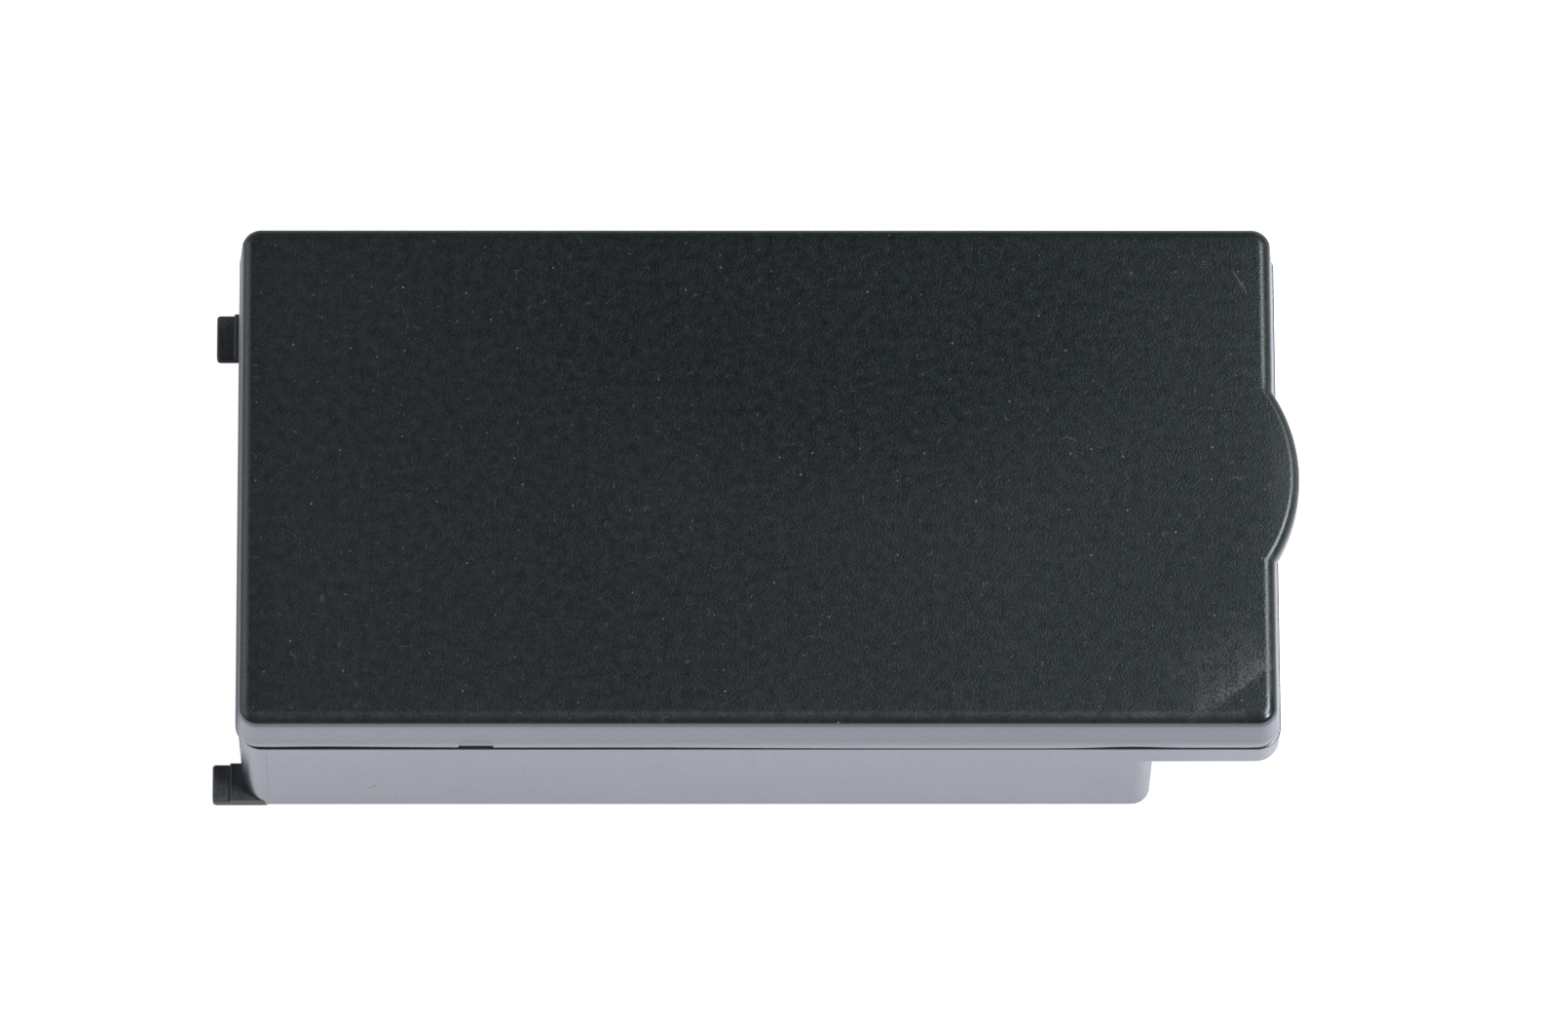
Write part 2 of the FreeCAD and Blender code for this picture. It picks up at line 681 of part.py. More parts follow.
doc.recompute()
for item in doc.Objects:
    if "Invalid" in item.State or "Error" in item.State:
        raise RuntimeError(f"{item.Label} did not build: {item.State}")
os.makedirs("parts", exist_ok=True)
for body in nodes:
    shape = body.Shape
    if shape.isNull() or not shape.isValid() or len(shape.Solids) != 1:
        raise RuntimeError(f"{body.Label} is not one sound solid")
    shape.exportStep(f"parts/{body.Label}.step")
    box = shape.BoundBox
    print(f"{body.Label}: {box.XLength:.2f} x {box.YLength:.2f} x {box.ZLength:.2f} mm, {shape.Volume:.0f} mm3")
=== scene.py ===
# %% [markdown]
# # A clip-on battery pack
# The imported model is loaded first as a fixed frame: every solid of the pack is already in its place,
# in metres, with the flat underside on the floor. Blender only adds what the eye sees: the camera,
# the light, the finishes, and a finer surface where the solid is too plain.

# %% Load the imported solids
import math

import bmesh
import bpy
import numpy as np
from mathutils import Matrix, Vector


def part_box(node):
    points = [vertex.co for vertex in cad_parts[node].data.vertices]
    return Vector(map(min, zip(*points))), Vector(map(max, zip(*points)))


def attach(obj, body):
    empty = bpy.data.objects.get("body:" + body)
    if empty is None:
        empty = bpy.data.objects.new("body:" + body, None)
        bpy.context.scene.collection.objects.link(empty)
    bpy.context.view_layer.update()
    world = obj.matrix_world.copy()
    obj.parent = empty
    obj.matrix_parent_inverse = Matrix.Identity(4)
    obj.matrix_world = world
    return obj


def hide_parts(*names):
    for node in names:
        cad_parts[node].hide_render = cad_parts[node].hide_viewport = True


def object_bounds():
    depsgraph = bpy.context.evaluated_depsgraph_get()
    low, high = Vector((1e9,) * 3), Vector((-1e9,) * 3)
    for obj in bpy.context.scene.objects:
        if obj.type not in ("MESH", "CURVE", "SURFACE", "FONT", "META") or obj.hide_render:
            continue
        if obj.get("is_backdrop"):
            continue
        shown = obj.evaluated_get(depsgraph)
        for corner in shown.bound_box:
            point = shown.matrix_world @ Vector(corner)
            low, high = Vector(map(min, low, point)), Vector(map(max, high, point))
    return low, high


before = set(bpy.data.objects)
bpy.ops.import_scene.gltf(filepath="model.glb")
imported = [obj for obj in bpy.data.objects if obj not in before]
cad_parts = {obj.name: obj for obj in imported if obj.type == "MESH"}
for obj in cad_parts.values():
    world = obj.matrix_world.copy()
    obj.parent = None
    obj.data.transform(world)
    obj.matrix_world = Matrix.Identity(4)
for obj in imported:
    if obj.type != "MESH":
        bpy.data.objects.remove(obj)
cad_low, cad_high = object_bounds()
MM = 0.001
print("solids:", len(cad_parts), "box in mm:", [round(v / MM, 2) for v in (*cad_low, *cad_high)])

# %% [markdown]
# ## The camera
# The picture was taken from well above, with a long lens: the sides of the cover converge only by a
# few pixels. The place, the tilt and the small turn were found by matching the straight edges of
# the cover, the step and the hooks to their lines in the picture. A camera looks along its own -Z,
# so it is tilted about X, carried round the pack about Z, and rolled about its own axis.

# %% Place the camera
IMAGE_WIDTH = 1610
FOCAL_PIXELS = 15730
SENSOR_WIDTH = 36.0
ROUND_THE_PACK, TILT, ROLL = -1.748, 21.0, 1.631
CAMERA_PLACE = (-0.014601, -0.581674, 1.530380)
camera_data = bpy.data.cameras.new("photo_camera")
camera = bpy.data.objects.new("photo_camera", camera_data)
bpy.context.collection.objects.link(camera)
camera_data.sensor_width = SENSOR_WIDTH
camera_data.lens = FOCAL_PIXELS / IMAGE_WIDTH * SENSOR_WIDTH
camera_data.clip_end = 20.0
round_the_pack = Matrix.Rotation(math.radians(ROUND_THE_PACK), 3, "Z")
tilt = Matrix.Rotation(math.radians(TILT), 3, "X")
roll = Matrix.Rotation(math.radians(ROLL), 3, "Z")
camera.rotation_euler = (round_the_pack @ tilt @ roll).to_euler()
camera.location = CAMERA_PLACE
scene = bpy.context.scene
scene.camera = camera
scene.view_settings.view_transform = "Standard"
print("lens in mm:", round(camera_data.lens, 1))

# %% [markdown]
# ## A short way to write a node
# Every finish below is a small tree of nodes. Added by hand, a node takes several lines: make it,
# change its settings, fill its sockets. One helper does all three. A plain value is set on the
# socket, another node's output is linked to it.


# %% Helper for one node
def node(tree, kind, inputs=None, **settings):
    """Add one shader node; inputs maps a socket's name or number to a value or to an output."""
    made = tree.nodes.new(f"ShaderNode{kind}")
    for name, value in settings.items():
        setattr(made, name, value)
    for name, value in (inputs or {}).items():
        if isinstance(value, bpy.types.NodeSocket):
            tree.links.new(value, made.inputs[name])
        else:
            made.inputs[name].default_value = value
    return made


print("the node helper is ready")

# %% [markdown]
# ## Sums, colours and noise
# A finish is worked out like a sum: noise is stretched to a useful range, values are multiplied,
# colours are blended. Noise is read at Object coordinates, which are metres on the pack, so a grain
# a quarter of a millimetre across is written as just that, and it stays in place in every view.


# %% Helpers for sums, colours and noise
def maths(tree, operation, first, second=0.0):
    """Work out one number from two."""
    return node(tree, "Math", {0: first, 1: second}, operation=operation).outputs[0]


def rescale(tree, value, low, high, new_low=0.0, new_high=1.0, smooth=False):
    """Stretch the part of a value between low and high over a new range, held at both ends."""
    kind = "SMOOTHSTEP" if smooth else "LINEAR"
    limits = {"Value": value, "From Min": low, "From Max": high, "To Min": new_low, "To Max": new_high}
    return node(tree, "MapRange", limits, interpolation_type=kind).outputs[0]


def blend(tree, amount, first, second):
    """Fade from one colour to another."""
    made = node(tree, "Mix", {0: amount, 6: first, 7: second}, data_type="RGBA")
    return made.outputs[2]


def place(tree):
    """Where a point lies on the pack, in metres."""
    return node(tree, "TexCoord").outputs["Object"]


def grain(tree, where, size, detail=2.0, roughness=0.5, stretch=None):
    """Cloudy noise whose patches are about as large as size, in metres; stretch draws it out."""
    if stretch is not None:
        where = node(tree, "Mapping", {"Vector": where, "Scale": stretch}).outputs[0]
    inputs = {"Vector": where, "Scale": 1.0 / size, "Detail": detail, "Roughness": roughness}
    return node(tree, "TexNoise", inputs).outputs[0]


print("helpers for sums, colours and noise are ready")

# %% [markdown]
# ## Starting a finish
# A number that is the same all over a surface, such as how strongly it bends light, is set on the
# shader's own socket. Only what changes from place to place comes from other nodes.


# %% Helper for a new finish
def new_finish(name, **sockets):
    """Start a finish whose uniform numbers sit on the shader's own sockets."""
    finish = bpy.data.materials.new(name)
    finish.use_nodes = True
    shader = finish.node_tree.nodes["Principled BSDF"]
    for socket, value in sockets.items():
        shader.inputs[socket.replace("_", " ")].default_value = value
    return finish, finish.node_tree, shader


print("the finish helper is ready")

# %% [markdown]
# ## The floor
# The pack lies on a white sheet that is bright enough to vanish into the picture. A floor could be
# made white by pouring light on it, but that would wash out the black pack as well. So the sheet is
# a pale grey paper, and a glow that only some rays see does the rest. It lies a hair below the pack,
# so that its face and the pack's flat underside don't fight for the same place.

# %% Lay the floor
FLOOR_REACH = 4.0
JUST_BELOW = 0.00002
PAPER_CLOUDS, PAPER_DARK, PAPER_PALE = 0.004, 0.42, 0.46
corners = np.array([(-1, -1, 0), (1, -1, 0), (1, 1, 0), (-1, 1, 0)]) * FLOOR_REACH
corners = corners - np.array([0.0, 0.0, JUST_BELOW])
floor_mesh = bpy.data.meshes.new("floor")
floor_mesh.from_pydata(corners.tolist(), [], [(0, 1, 2, 3)])
floor = bpy.data.objects.new("floor", floor_mesh)
bpy.context.collection.objects.link(floor)
floor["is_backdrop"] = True
floor_finish, tree, shader = new_finish("white_sheet", Roughness=0.9)
paper = rescale(tree, grain(tree, place(tree), PAPER_CLOUDS), 0.3, 0.7, PAPER_DARK, PAPER_PALE)
paper_colour = node(tree, "CombineColor", {0: paper, 1: paper, 2: paper}).outputs[0]
tree.links.new(paper_colour, shader.inputs["Base Color"])
floor_mesh.materials.append(floor_finish)
print("floor in metres:", corners[0].tolist(), "to", corners[2].tolist())

# %% [markdown]
# The camera sees the whole sheet glow evenly, and the pack's soft shadow stays on it. The glossy walls
# mirror the sheet, and in the picture their grey isn't the same everywhere: the real sheet was
# brightest in front of the pack, most of all near the hooks, less bright on the right and far out on
# the left, and dim behind. So the glow that reflections see depends on the place on the sheet.

# %% Let the floor glow
FLOOR_GLOW = 0.90
FRONT_GLOW, RIGHT_GLOW, LEFT_GLOW, FAR_GLOW = 0.79, 0.42, 0.50, 0.12
to_right, to_back = node(tree, "SeparateXYZ", {0: place(tree)}).outputs[:2]
slope = rescale(tree, to_right, -0.045, 0.03, -0.21, 0.03)
falls_off = maths(tree, "MULTIPLY", slope, rescale(tree, to_back, -0.034, -0.040))
in_front = rescale(tree, to_back, -0.018, -0.029, FAR_GLOW, FRONT_GLOW)
in_front = maths(tree, "SUBTRACT", in_front, falls_off)
on_right = rescale(tree, to_right, 0.050, 0.054, FAR_GLOW, RIGHT_GLOW)
far_left = rescale(tree, to_right, -0.060, -0.085, 0.0, LEFT_GLOW)
aside = maths(tree, "MAXIMUM", on_right, far_left)
rays = node(tree, "LightPath").outputs
mirrored = maths(tree, "MAXIMUM", rays["Is Glossy Ray"], rays["Is Transmission Ray"])
mirrored = maths(tree, "MULTIPLY", mirrored, maths(tree, "MAXIMUM", in_front, aside))
seen = maths(tree, "MAXIMUM", maths(tree, "MULTIPLY", rays["Is Camera Ray"], FLOOR_GLOW), mirrored)
glow = node(tree, "Emission", {"Strength": seen})
both = node(tree, "AddShader", {0: shader.outputs[0], 1: glow.outputs[0]})
tree.links.new(both.outputs[0], tree.nodes["Material Output"].inputs["Surface"])
print("floor glow:", FLOOR_GLOW, "in reflections:", FRONT_GLOW, RIGHT_GLOW, LEFT_GLOW, FAR_GLOW)

# %% [markdown]
# ## The light
# The picture tells where the lamps stood. A thin bright line runs down the right-hand edge, so there
# is a soft lamp high up on the right. The front right corner has a small bright spot and the lower
# half of the lip shines, so a second, smaller lamp stands further round to the front. The left edge
# shows an even grey, the reflection of something large and pale on that side. Above the pack it is
# dark, or the black top would look grey. So: two lamps on the right and a wide pale panel on the left.


# %% Hang the lamps
def soft_lamp(name, towards, distance, width, height, power):
    """Hang a flat lamp in a direction as seen from the pack, facing the pack."""
    direction = Vector(towards).normalized()
    lamp = bpy.data.lights.new(name, "AREA")
    lamp.shape = "RECTANGLE"
    lamp.size = width
    lamp.size_y = height
    lamp.energy = power
    holder = bpy.data.objects.new(name, lamp)
    holder.location = direction * distance
    holder.rotation_euler = direction.to_track_quat("Z", "Y").to_euler()
    bpy.context.collection.objects.link(holder)


soft_lamp("right_lamp", (0.58, 0.05, 0.80), distance=0.85, width=0.70, height=0.27, power=8.5)
soft_lamp("corner_lamp", (0.70, -0.45, 0.55), distance=0.9, width=0.20, height=0.20, power=4.8)
soft_lamp("left_panel", (-0.90, 0.05, 0.42), distance=1.2, width=1.5, height=0.8, power=7.9)
print("lamps:", [item.name for item in bpy.data.lights])

# %% [markdown]
# The world stands for what is left of the room. It is dim to everything but the camera's own rays,
# which see plain white past the end of the floor.

# %% Dim the room
ROOM_LIGHT = 0.06
world = bpy.data.worlds.new("studio")
scene.world = world
world.use_nodes = True
tree = world.node_tree
seen = node(tree, "LightPath").outputs["Is Camera Ray"]
strength = rescale(tree, seen, 0.0, 1.0, ROOM_LIGHT, 1.0)
tree.links.new(strength, tree.nodes["Background"].inputs["Strength"])
tree.nodes["Background"].inputs["Color"].default_value = (1.0, 1.0, 1.0, 1.0)
print("room light:", ROOM_LIGHT)

# %% [markdown]
# ## From grids to a mesh
# A moulded shell is a profile carried round an outline. Worked out with numpy, that is one grid of
# points: a row for every step of the profile, a column for every stop on the outline. Several such
# grids that share their border rows are put into one mesh, and the border points are welded.


# %% Helpers for grids
def grid_faces(rows, columns, ring, start):
    """Number the four corners of every cell of a grid; a ring joins its last column to its first."""
    down = np.arange(rows - 1)[:, None] * columns
    here = np.arange(columns if ring else columns - 1)[None, :]
    after = (here + 1) % columns
    cells = np.stack([down + here, down + after, down + columns + after, down + columns + here], axis=-1)
    return cells.reshape(-1, 4) + start


def build_piece(name, grids, finishes, sharp=40.0):
    """Join grids of points (rows, columns, xyz in mm) into one closed piece with smooth faces."""
    points, faces, which = [], [], []
    count = 0
    for patch, ring, number in grids:
        rows, columns = patch.shape[:2]
        cells = grid_faces(rows, columns, ring, count)
        points.append(patch.reshape(-1, 3) * MM)
        faces.append(cells)
        which.append(np.full(len(cells), number))
        count += rows * columns
    mesh = bpy.data.meshes.new(name)
    mesh.from_pydata(np.concatenate(points).tolist(), [], np.concatenate(faces).tolist())
    mesh.polygons.foreach_set("material_index", np.concatenate(which).astype(np.int32))
    for finish in finishes:
        mesh.materials.append(finish)
    work = bmesh.new()
    work.from_mesh(mesh)
    bmesh.ops.remove_doubles(work, verts=work.verts, dist=2e-6)
    bmesh.ops.dissolve_degenerate(work, edges=work.edges, dist=1e-7)
    bmesh.ops.recalc_face_normals(work, faces=work.faces)
    open_edges = sum(not edge.is_manifold for edge in work.edges)
    work.to_mesh(mesh)
    work.free()
    mesh.polygons.foreach_set("use_smooth", np.ones(len(mesh.polygons), dtype=bool))
    mesh.set_sharp_from_angle(angle=math.radians(sharp))
    piece = bpy.data.objects.new(name, mesh)
    bpy.context.collection.objects.link(piece)
    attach(piece, "root")
    print(name, "faces:", len(mesh.polygons), "open edges:", open_edges)
    return piece


print("grid helpers are ready")

# %% [markdown]
# ## The finish of the cover's top
# The top is black plastic from a mould whose steel was spark-eroded, which leaves a fine pebbled
# grain a quarter of a millimetre across. Grain that small could be real geometry only with millions
# of faces, so it is a bump worked out from noise. The finish is then built up in layers: the grain,
# the rubbed edge with a painted highlight along it, a film with a painted reflection of the room, a
# smudge, dust and scratches.

# %% The grain of the top
PITS_IN_A_METRE = 4200.0
PEBBLE_SIZE, MOTTLE_SIZE = 0.00026, 0.0011
grained_black, tree, shader = new_finish("grained_black", IOR=1.5)
shader.inputs["Specular Tint"].default_value = (0.82, 0.96, 1.0, 1.0)
where = place(tree)
across_pack, along_pack, height = node(tree, "SeparateXYZ", {0: where}).outputs
pit_inputs = {"Vector": where, "Scale": PITS_IN_A_METRE, "Randomness": 1.0}
pits = node(tree, "TexVoronoi", pit_inputs, feature="F1")
pebbles = grain(tree, where, PEBBLE_SIZE, detail=1.0)
mottle = grain(tree, where, MOTTLE_SIZE, detail=3.0, roughness=0.7)
relief = maths(tree, "ADD", maths(tree, "MULTIPLY", pits.outputs["Distance"], 0.5), pebbles)
speckle = maths(tree, "ADD", maths(tree, "MULTIPLY", pebbles, 0.6), maths(tree, "MULTIPLY", mottle, 0.4))
print("grain in mm:", 1.0 / PITS_IN_A_METRE / MM, PEBBLE_SIZE / MM, MOTTLE_SIZE / MM)

# %% [markdown]
# ## Marks at one place
# Wear and dirt have their places. Two helpers say where: a soft spot, and a short thin stroke. A
# painted picture could do the same, but these need no picture and stay sharp however near one goes.


# %% Helpers for spots and strokes
def spot(tree, where, middle, reach):
    """One at a place on the pack, fading to nothing at the given reach along X, Y and Z."""
    away = node(tree, "VectorMath", {0: where, 1: middle}, operation="SUBTRACT").outputs[0]
    away = node(tree, "VectorMath", {0: away, 1: reach}, operation="DIVIDE").outputs[0]
    distance = node(tree, "VectorMath", {0: away}, operation="LENGTH").outputs["Value"]
    return rescale(tree, distance, 1.0, 0.2)


def along_line(tree, away, direction):
    """How far a point lies along a direction."""
    return node(tree, "VectorMath", {0: away, 1: direction}, operation="DOT_PRODUCT").outputs["Value"]


def stroke(tree, where, middle, turn, length, width):
    """One along a short stroke across the top, turned from X by an angle in degrees."""
    turn = math.radians(turn)
    away = node(tree, "VectorMath", {0: where, 1: middle}, operation="SUBTRACT").outputs[0]
    along = along_line(tree, away, (math.cos(turn), math.sin(turn), 0.0))
    across = along_line(tree, away, (-math.sin(turn), math.cos(turn), 0.0))
    inside = rescale(tree, maths(tree, "ABSOLUTE", along), length / 2, length / 4)
    thin = rescale(tree, maths(tree, "ABSOLUTE", across), width / 2, width / 5)
    return maths(tree, "MULTIPLY", inside, thin)


print("helpers for marks are ready")

# %% [markdown]
# Hands have rubbed the grain shallower and paler on the rounded edge. The height of a point tells
# where that is: the flat top lies at 24.2 mm, and the edge falls away below it. The front right corner
# and the lower half of the lip's rim are nearly polished. Along the top of the rounding runs a pale
# speckled line that is partly wear and partly a painted highlight for the light that edge catches. It
# fades out towards the back, is fainter along the front than on the other edges, and fainter near the
# hooks than near the lip, with one paler patch.

# %% The rubbed edge and the painted highlight along it
ROUND_BEGINS, ROUND_RUBBED = 0.024198, 0.02415
rubbed = rescale(tree, height, ROUND_BEGINS, ROUND_RUBBED)
handled_corner = spot(tree, where, (0.0538, -0.0270, 0.0240), (0.0036, 0.0036, 1.0))
lip_rim = spot(tree, where, (0.0558, -0.0062, 0.0240), (0.0034, 0.0064, 1.0))
polished = maths(tree, "MULTIPLY", maths(tree, "MAXIMUM", handled_corner, lip_rim), rubbed)
depth = rescale(tree, rubbed, 0.0, 1.0, 0.65, 0.30)
depth = maths(tree, "SUBTRACT", depth, maths(tree, "MULTIPLY", polished, 0.24))
bump = node(tree, "Bump", {"Height": relief, "Strength": depth, "Distance": 0.00004})
tree.links.new(bump.outputs[0], shader.inputs["Normal"])
# Painted highlight: the pale speckled line along the top of the rounding is partly wear and partly light
# the edge catches.
worn_and_painted_highlight = maths(tree, "MULTIPLY", rubbed, rescale(tree, height, 0.02390, 0.02412))
worn_and_painted_highlight = maths(tree, "MULTIPLY", worn_and_painted_highlight, rescale(tree, speckle, 0.40, 0.60, 0.2, 1.0))
worn_and_painted_highlight = maths(tree, "MULTIPLY", worn_and_painted_highlight, rescale(tree, along_pack, 0.027, -0.027))
pale_patch = spot(tree, where, (0.0410, -0.0272, 0.0240), (0.0040, 0.0030, 1.0))
on_front = maths(tree, "ADD", rescale(tree, across_pack, -0.055, 0.045, 0.40, 0.55), pale_patch)
elsewhere = rescale(tree, along_pack, -0.0265, -0.0240)
worn_and_painted_highlight = maths(tree, "MULTIPLY", worn_and_painted_highlight, maths(tree, "MAXIMUM", elsewhere, on_front))
print("the edge is rubbed from", ROUND_BEGINS / MM, "mm down")

# %% [markdown]
# Handling leaves a thin pale film, and a painted reflection of the room lies over the top: it is
# painted paler towards the lip and towards the front, darker in a patch behind the middle, and paler
# again at the hooks' end. The film also makes the top a little duller. A slope along X and Y gives the
# first, spots give the patches, and slow noise keeps the limits soft. Fingers have rubbed the lip
# itself paler.

# %% The film from handling and the painted reflection
# Painted reflection: a broad paler and darker pattern across the top, with a little real film.
film_and_painted_reflection = maths(tree, "MULTIPLY", across_pack, 4.0)
film_and_painted_reflection = maths(tree, "SUBTRACT", film_and_painted_reflection, maths(tree, "MULTIPLY", along_pack, 9.0))
clouds = rescale(tree, grain(tree, where, 0.030, 2.0), 0.3, 0.7, -0.2, 0.2)
dark_reflection_patch = spot(tree, where, (0.010, 0.016, 0.024), (0.034, 0.022, 1.0))
film_and_painted_reflection = maths(tree, "SUBTRACT", maths(tree, "ADD", film_and_painted_reflection, clouds), dark_reflection_patch)
before_lip = spot(tree, where, (0.038, 0.002, 0.024), (0.024, 0.022, 1.0))
film_and_painted_reflection = maths(tree, "ADD", film_and_painted_reflection, maths(tree, "MULTIPLY", before_lip, 0.1))
on_lip = spot(tree, where, (0.0570, 0.0, 0.024), (0.006, 0.016, 1.0))
film_and_painted_reflection = maths(tree, "ADD", film_and_painted_reflection, maths(tree, "MULTIPLY", on_lip, 1.4))
film_and_painted_reflection = maths(tree, "ADD", film_and_painted_reflection, rescale(tree, across_pack, -0.020, -0.053, 0.0, 0.8))
film_and_painted_reflection = rescale(tree, film_and_painted_reflection, -0.7, 0.6)
lip_rub = spot(tree, where, (0.0572, 0.0, 0.024), (0.0035, 0.012, 1.0))
print("film and lip are ready")

# %% [markdown]
# A thumb has left a pale smudge in the front right corner. It has one sharp, slanting edge and fades
# out over some millimetres on the other side. So it is measured from a point on that edge, across the
# edge and along it, and broken up by the same speckle as the grain.

# %% The smudge
SMUDGE_EDGE = (0.04715, -0.0270, 0.0)
ACROSS_SMUDGE, ALONG_SMUDGE = (-0.583, 0.813, 0.0), (0.813, 0.583, 0.0)
from_edge = node(tree, "VectorMath", {0: where, 1: SMUDGE_EDGE}, operation="SUBTRACT").outputs[0]
wander = rescale(tree, grain(tree, where, 0.003), 0.2, 0.8, -0.0005, 0.0005)
across = maths(tree, "ADD", along_line(tree, from_edge, ACROSS_SMUDGE), wander)
along = along_line(tree, from_edge, ALONG_SMUDGE)
starts = rescale(tree, across, -0.0002, 0.0005, smooth=True)
near = rescale(tree, across, 0.0005, 0.0024, 0.6, 0.0)
far = rescale(tree, across, 0.0005, 0.0085, 0.4, 0.0)
from_left = rescale(tree, along, -0.003, 0.003, smooth=True)
to_right = rescale(tree, along, 0.0080, 0.0105, 1.0, 0.0, smooth=True)
smudge = maths(tree, "MULTIPLY", starts, maths(tree, "ADD", near, far))
smudge = maths(tree, "MULTIPLY", smudge, maths(tree, "MULTIPLY", from_left, to_right))
smudge = maths(tree, "MULTIPLY", smudge, rescale(tree, speckle, 0.42, 0.58, 0.15, 1.0))
print("smudge from", SMUDGE_EDGE)

# %% [markdown]
# Dust lies in the grain. A cell pattern scatters points; some of them, picked by their random colour,
# become specks of their own size and paleness. Where slow noise crosses its middle value there are
# thin winding lines, and short stretches of them pass for lint. Two hair scratches lie near the back
# of the lip end.

# %% Dust, lint and hair scratches
POINTS_IN_A_METRE = 330.0
scatter = {"Vector": where, "Scale": POINTS_IN_A_METRE, "Randomness": 1.0}
specks = node(tree, "TexVoronoi", scatter, feature="F1", voronoi_dimensions="2D")
chosen = node(tree, "SeparateColor", {0: specks.outputs["Color"]}).outputs
radius = rescale(tree, chosen[1], 0.0, 1.0, 0.014, 0.034)
dust = maths(tree, "LESS_THAN", specks.outputs["Distance"], radius)
dust = maths(tree, "MULTIPLY", dust, maths(tree, "GREATER_THAN", chosen[0], 0.55))
dust = maths(tree, "MULTIPLY", dust, rescale(tree, chosen[2], 0.0, 1.0, 0.04, 0.32))
winding = maths(tree, "ABSOLUTE", maths(tree, "SUBTRACT", grain(tree, where, 0.0016, 0.0), 0.5))
lint = rescale(tree, winding, 0.022, 0.008)
lint = maths(tree, "MULTIPLY", lint, rescale(tree, grain(tree, where, 0.0009, 0.0), 0.66, 0.72, 0.0, 0.05))
dust = maths(tree, "MAXIMUM", dust, lint)
long_hair = stroke(tree, where, (0.0512, 0.0222, 0.0242), turn=-62.0, length=0.0024, width=0.00014)
short_hair = stroke(tree, where, (0.0519, 0.0211, 0.0242), turn=-70.0, length=0.0020, width=0.00012)
hairs = maths(tree, "MAXIMUM", long_hair, short_hair)
dust = maths(tree, "MAXIMUM", dust, maths(tree, "MULTIPLY", hairs, 0.16))
print("dust points in a metre:", POINTS_IN_A_METRE)

# %% [markdown]
# The layers are now laid over the black plastic one after the other, each by its own amount, as
# colour first and then as gloss. The colour includes the painted reflection and the painted highlight
# on the rounded edge. As gloss, film and smudge make it duller, rubbing makes it shinier.

# %% Colour and gloss of the top
RUBBED_COLOUR = (0.036, 0.039, 0.040, 1.0)
plastic = blend(
    tree, rescale(tree, speckle, 0.40, 0.66), (0.0022, 0.0036, 0.0042, 1.0), (0.0072, 0.0094, 0.0100, 1.0)
)
rubbed_high = maths(tree, "MULTIPLY", rubbed, rescale(tree, height, 0.0235, 0.0239, 0.0, 0.20))
# Painted reflection of the room, laid in as a paler colour.
plastic = blend(tree, maths(tree, "MULTIPLY", film_and_painted_reflection, 0.13), plastic, (0.030, 0.033, 0.034, 1.0))
plastic = blend(tree, rubbed_high, plastic, RUBBED_COLOUR)
# Painted highlight along the rounded edge, partly wear.
plastic = blend(tree, maths(tree, "MULTIPLY", worn_and_painted_highlight, 0.70), plastic, (0.045, 0.048, 0.047, 1.0))
plastic = blend(tree, maths(tree, "MULTIPLY", lip_rub, 0.50), plastic, RUBBED_COLOUR)
plastic = blend(tree, smudge, plastic, (0.052, 0.055, 0.055, 1.0))
plastic = blend(tree, dust, plastic, (0.42, 0.42, 0.40, 1.0))
tree.links.new(plastic, shader.inputs["Base Color"])
rough = rescale(tree, mottle, 0.3, 0.7, 0.29, 0.39)
for layer, change in ((film_and_painted_reflection, 0.05), (rubbed, -0.02), (smudge, 0.12), (polished, -0.16)):
    rough = maths(tree, "ADD", rough, maths(tree, "MULTIPLY", layer, change))
tree.links.new(rough, shader.inputs["Roughness"])
print("finish:", grained_black.name)

# %% [markdown]
# ## The finish of the walls
# The skirt and the case come from the same black plastic, but their mould was polished in the
# direction of draw, so they have a satin gloss. Seen from above at a low angle they mirror the white
# sheet in front of them and look grey. A clear coat over the plastic gives that strong, slightly
# soft reflection; a fine grain, faint rubs and flow marks keep it from looking like glass.


# %% Finish: satin black plastic
def satin_black(name):
    """Satin plastic for a moulded wall, with rub marks along X and grain in its gloss."""
    finish, tree, shader = new_finish(
        name, IOR=1.5, Coat_Weight=1.0, Coat_Roughness=0.24, Coat_IOR=1.5, Specular_IOR_Level=0.9
    )
    shader.inputs["Coat Tint"].default_value = (0.76, 0.82, 1.0, 1.0)
    where = place(tree)
    fine = grain(tree, where, 0.00035, 2.0)
    rubs = grain(tree, where, 0.0009, 3.0, 0.6, stretch=(0.08, 1.0, 1.0))
    flow = grain(tree, where, 0.014, 2.0, 0.5, stretch=(0.5, 1.0, 1.6))
    rub = rescale(tree, rubs, 0.56, 0.74)
    tone = rescale(tree, flow, 0.3, 0.7)
    plastic = blend(tree, tone, (0.014, 0.0155, 0.0170, 1.0), (0.022, 0.0235, 0.0255, 1.0))
    plastic = blend(tree, maths(tree, "MULTIPLY", rub, 0.12), plastic, (0.050, 0.052, 0.056, 1.0))
    tree.links.new(plastic, shader.inputs["Base Color"])
    rough = rescale(tree, fine, 0.3, 0.7, 0.28, 0.36)
    rough = maths(tree, "ADD", rough, maths(tree, "MULTIPLY", rub, 0.04))
    tree.links.new(rough, shader.inputs["Roughness"])
    relief = maths(tree, "ADD", maths(tree, "MULTIPLY", fine, 0.25), flow)
    bump = node(tree, "Bump", {"Height": relief, "Strength": 0.12, "Distance": 0.00006})
    tree.links.new(bump.outputs[0], shader.inputs["Normal"])
    tree.links.new(bump.outputs[0], shader.inputs["Coat Normal"])
    return finish


satin_skirt = satin_black("satin_skirt")
satin_case = satin_black("satin_case")
print("finishes:", satin_skirt.name, satin_case.name)

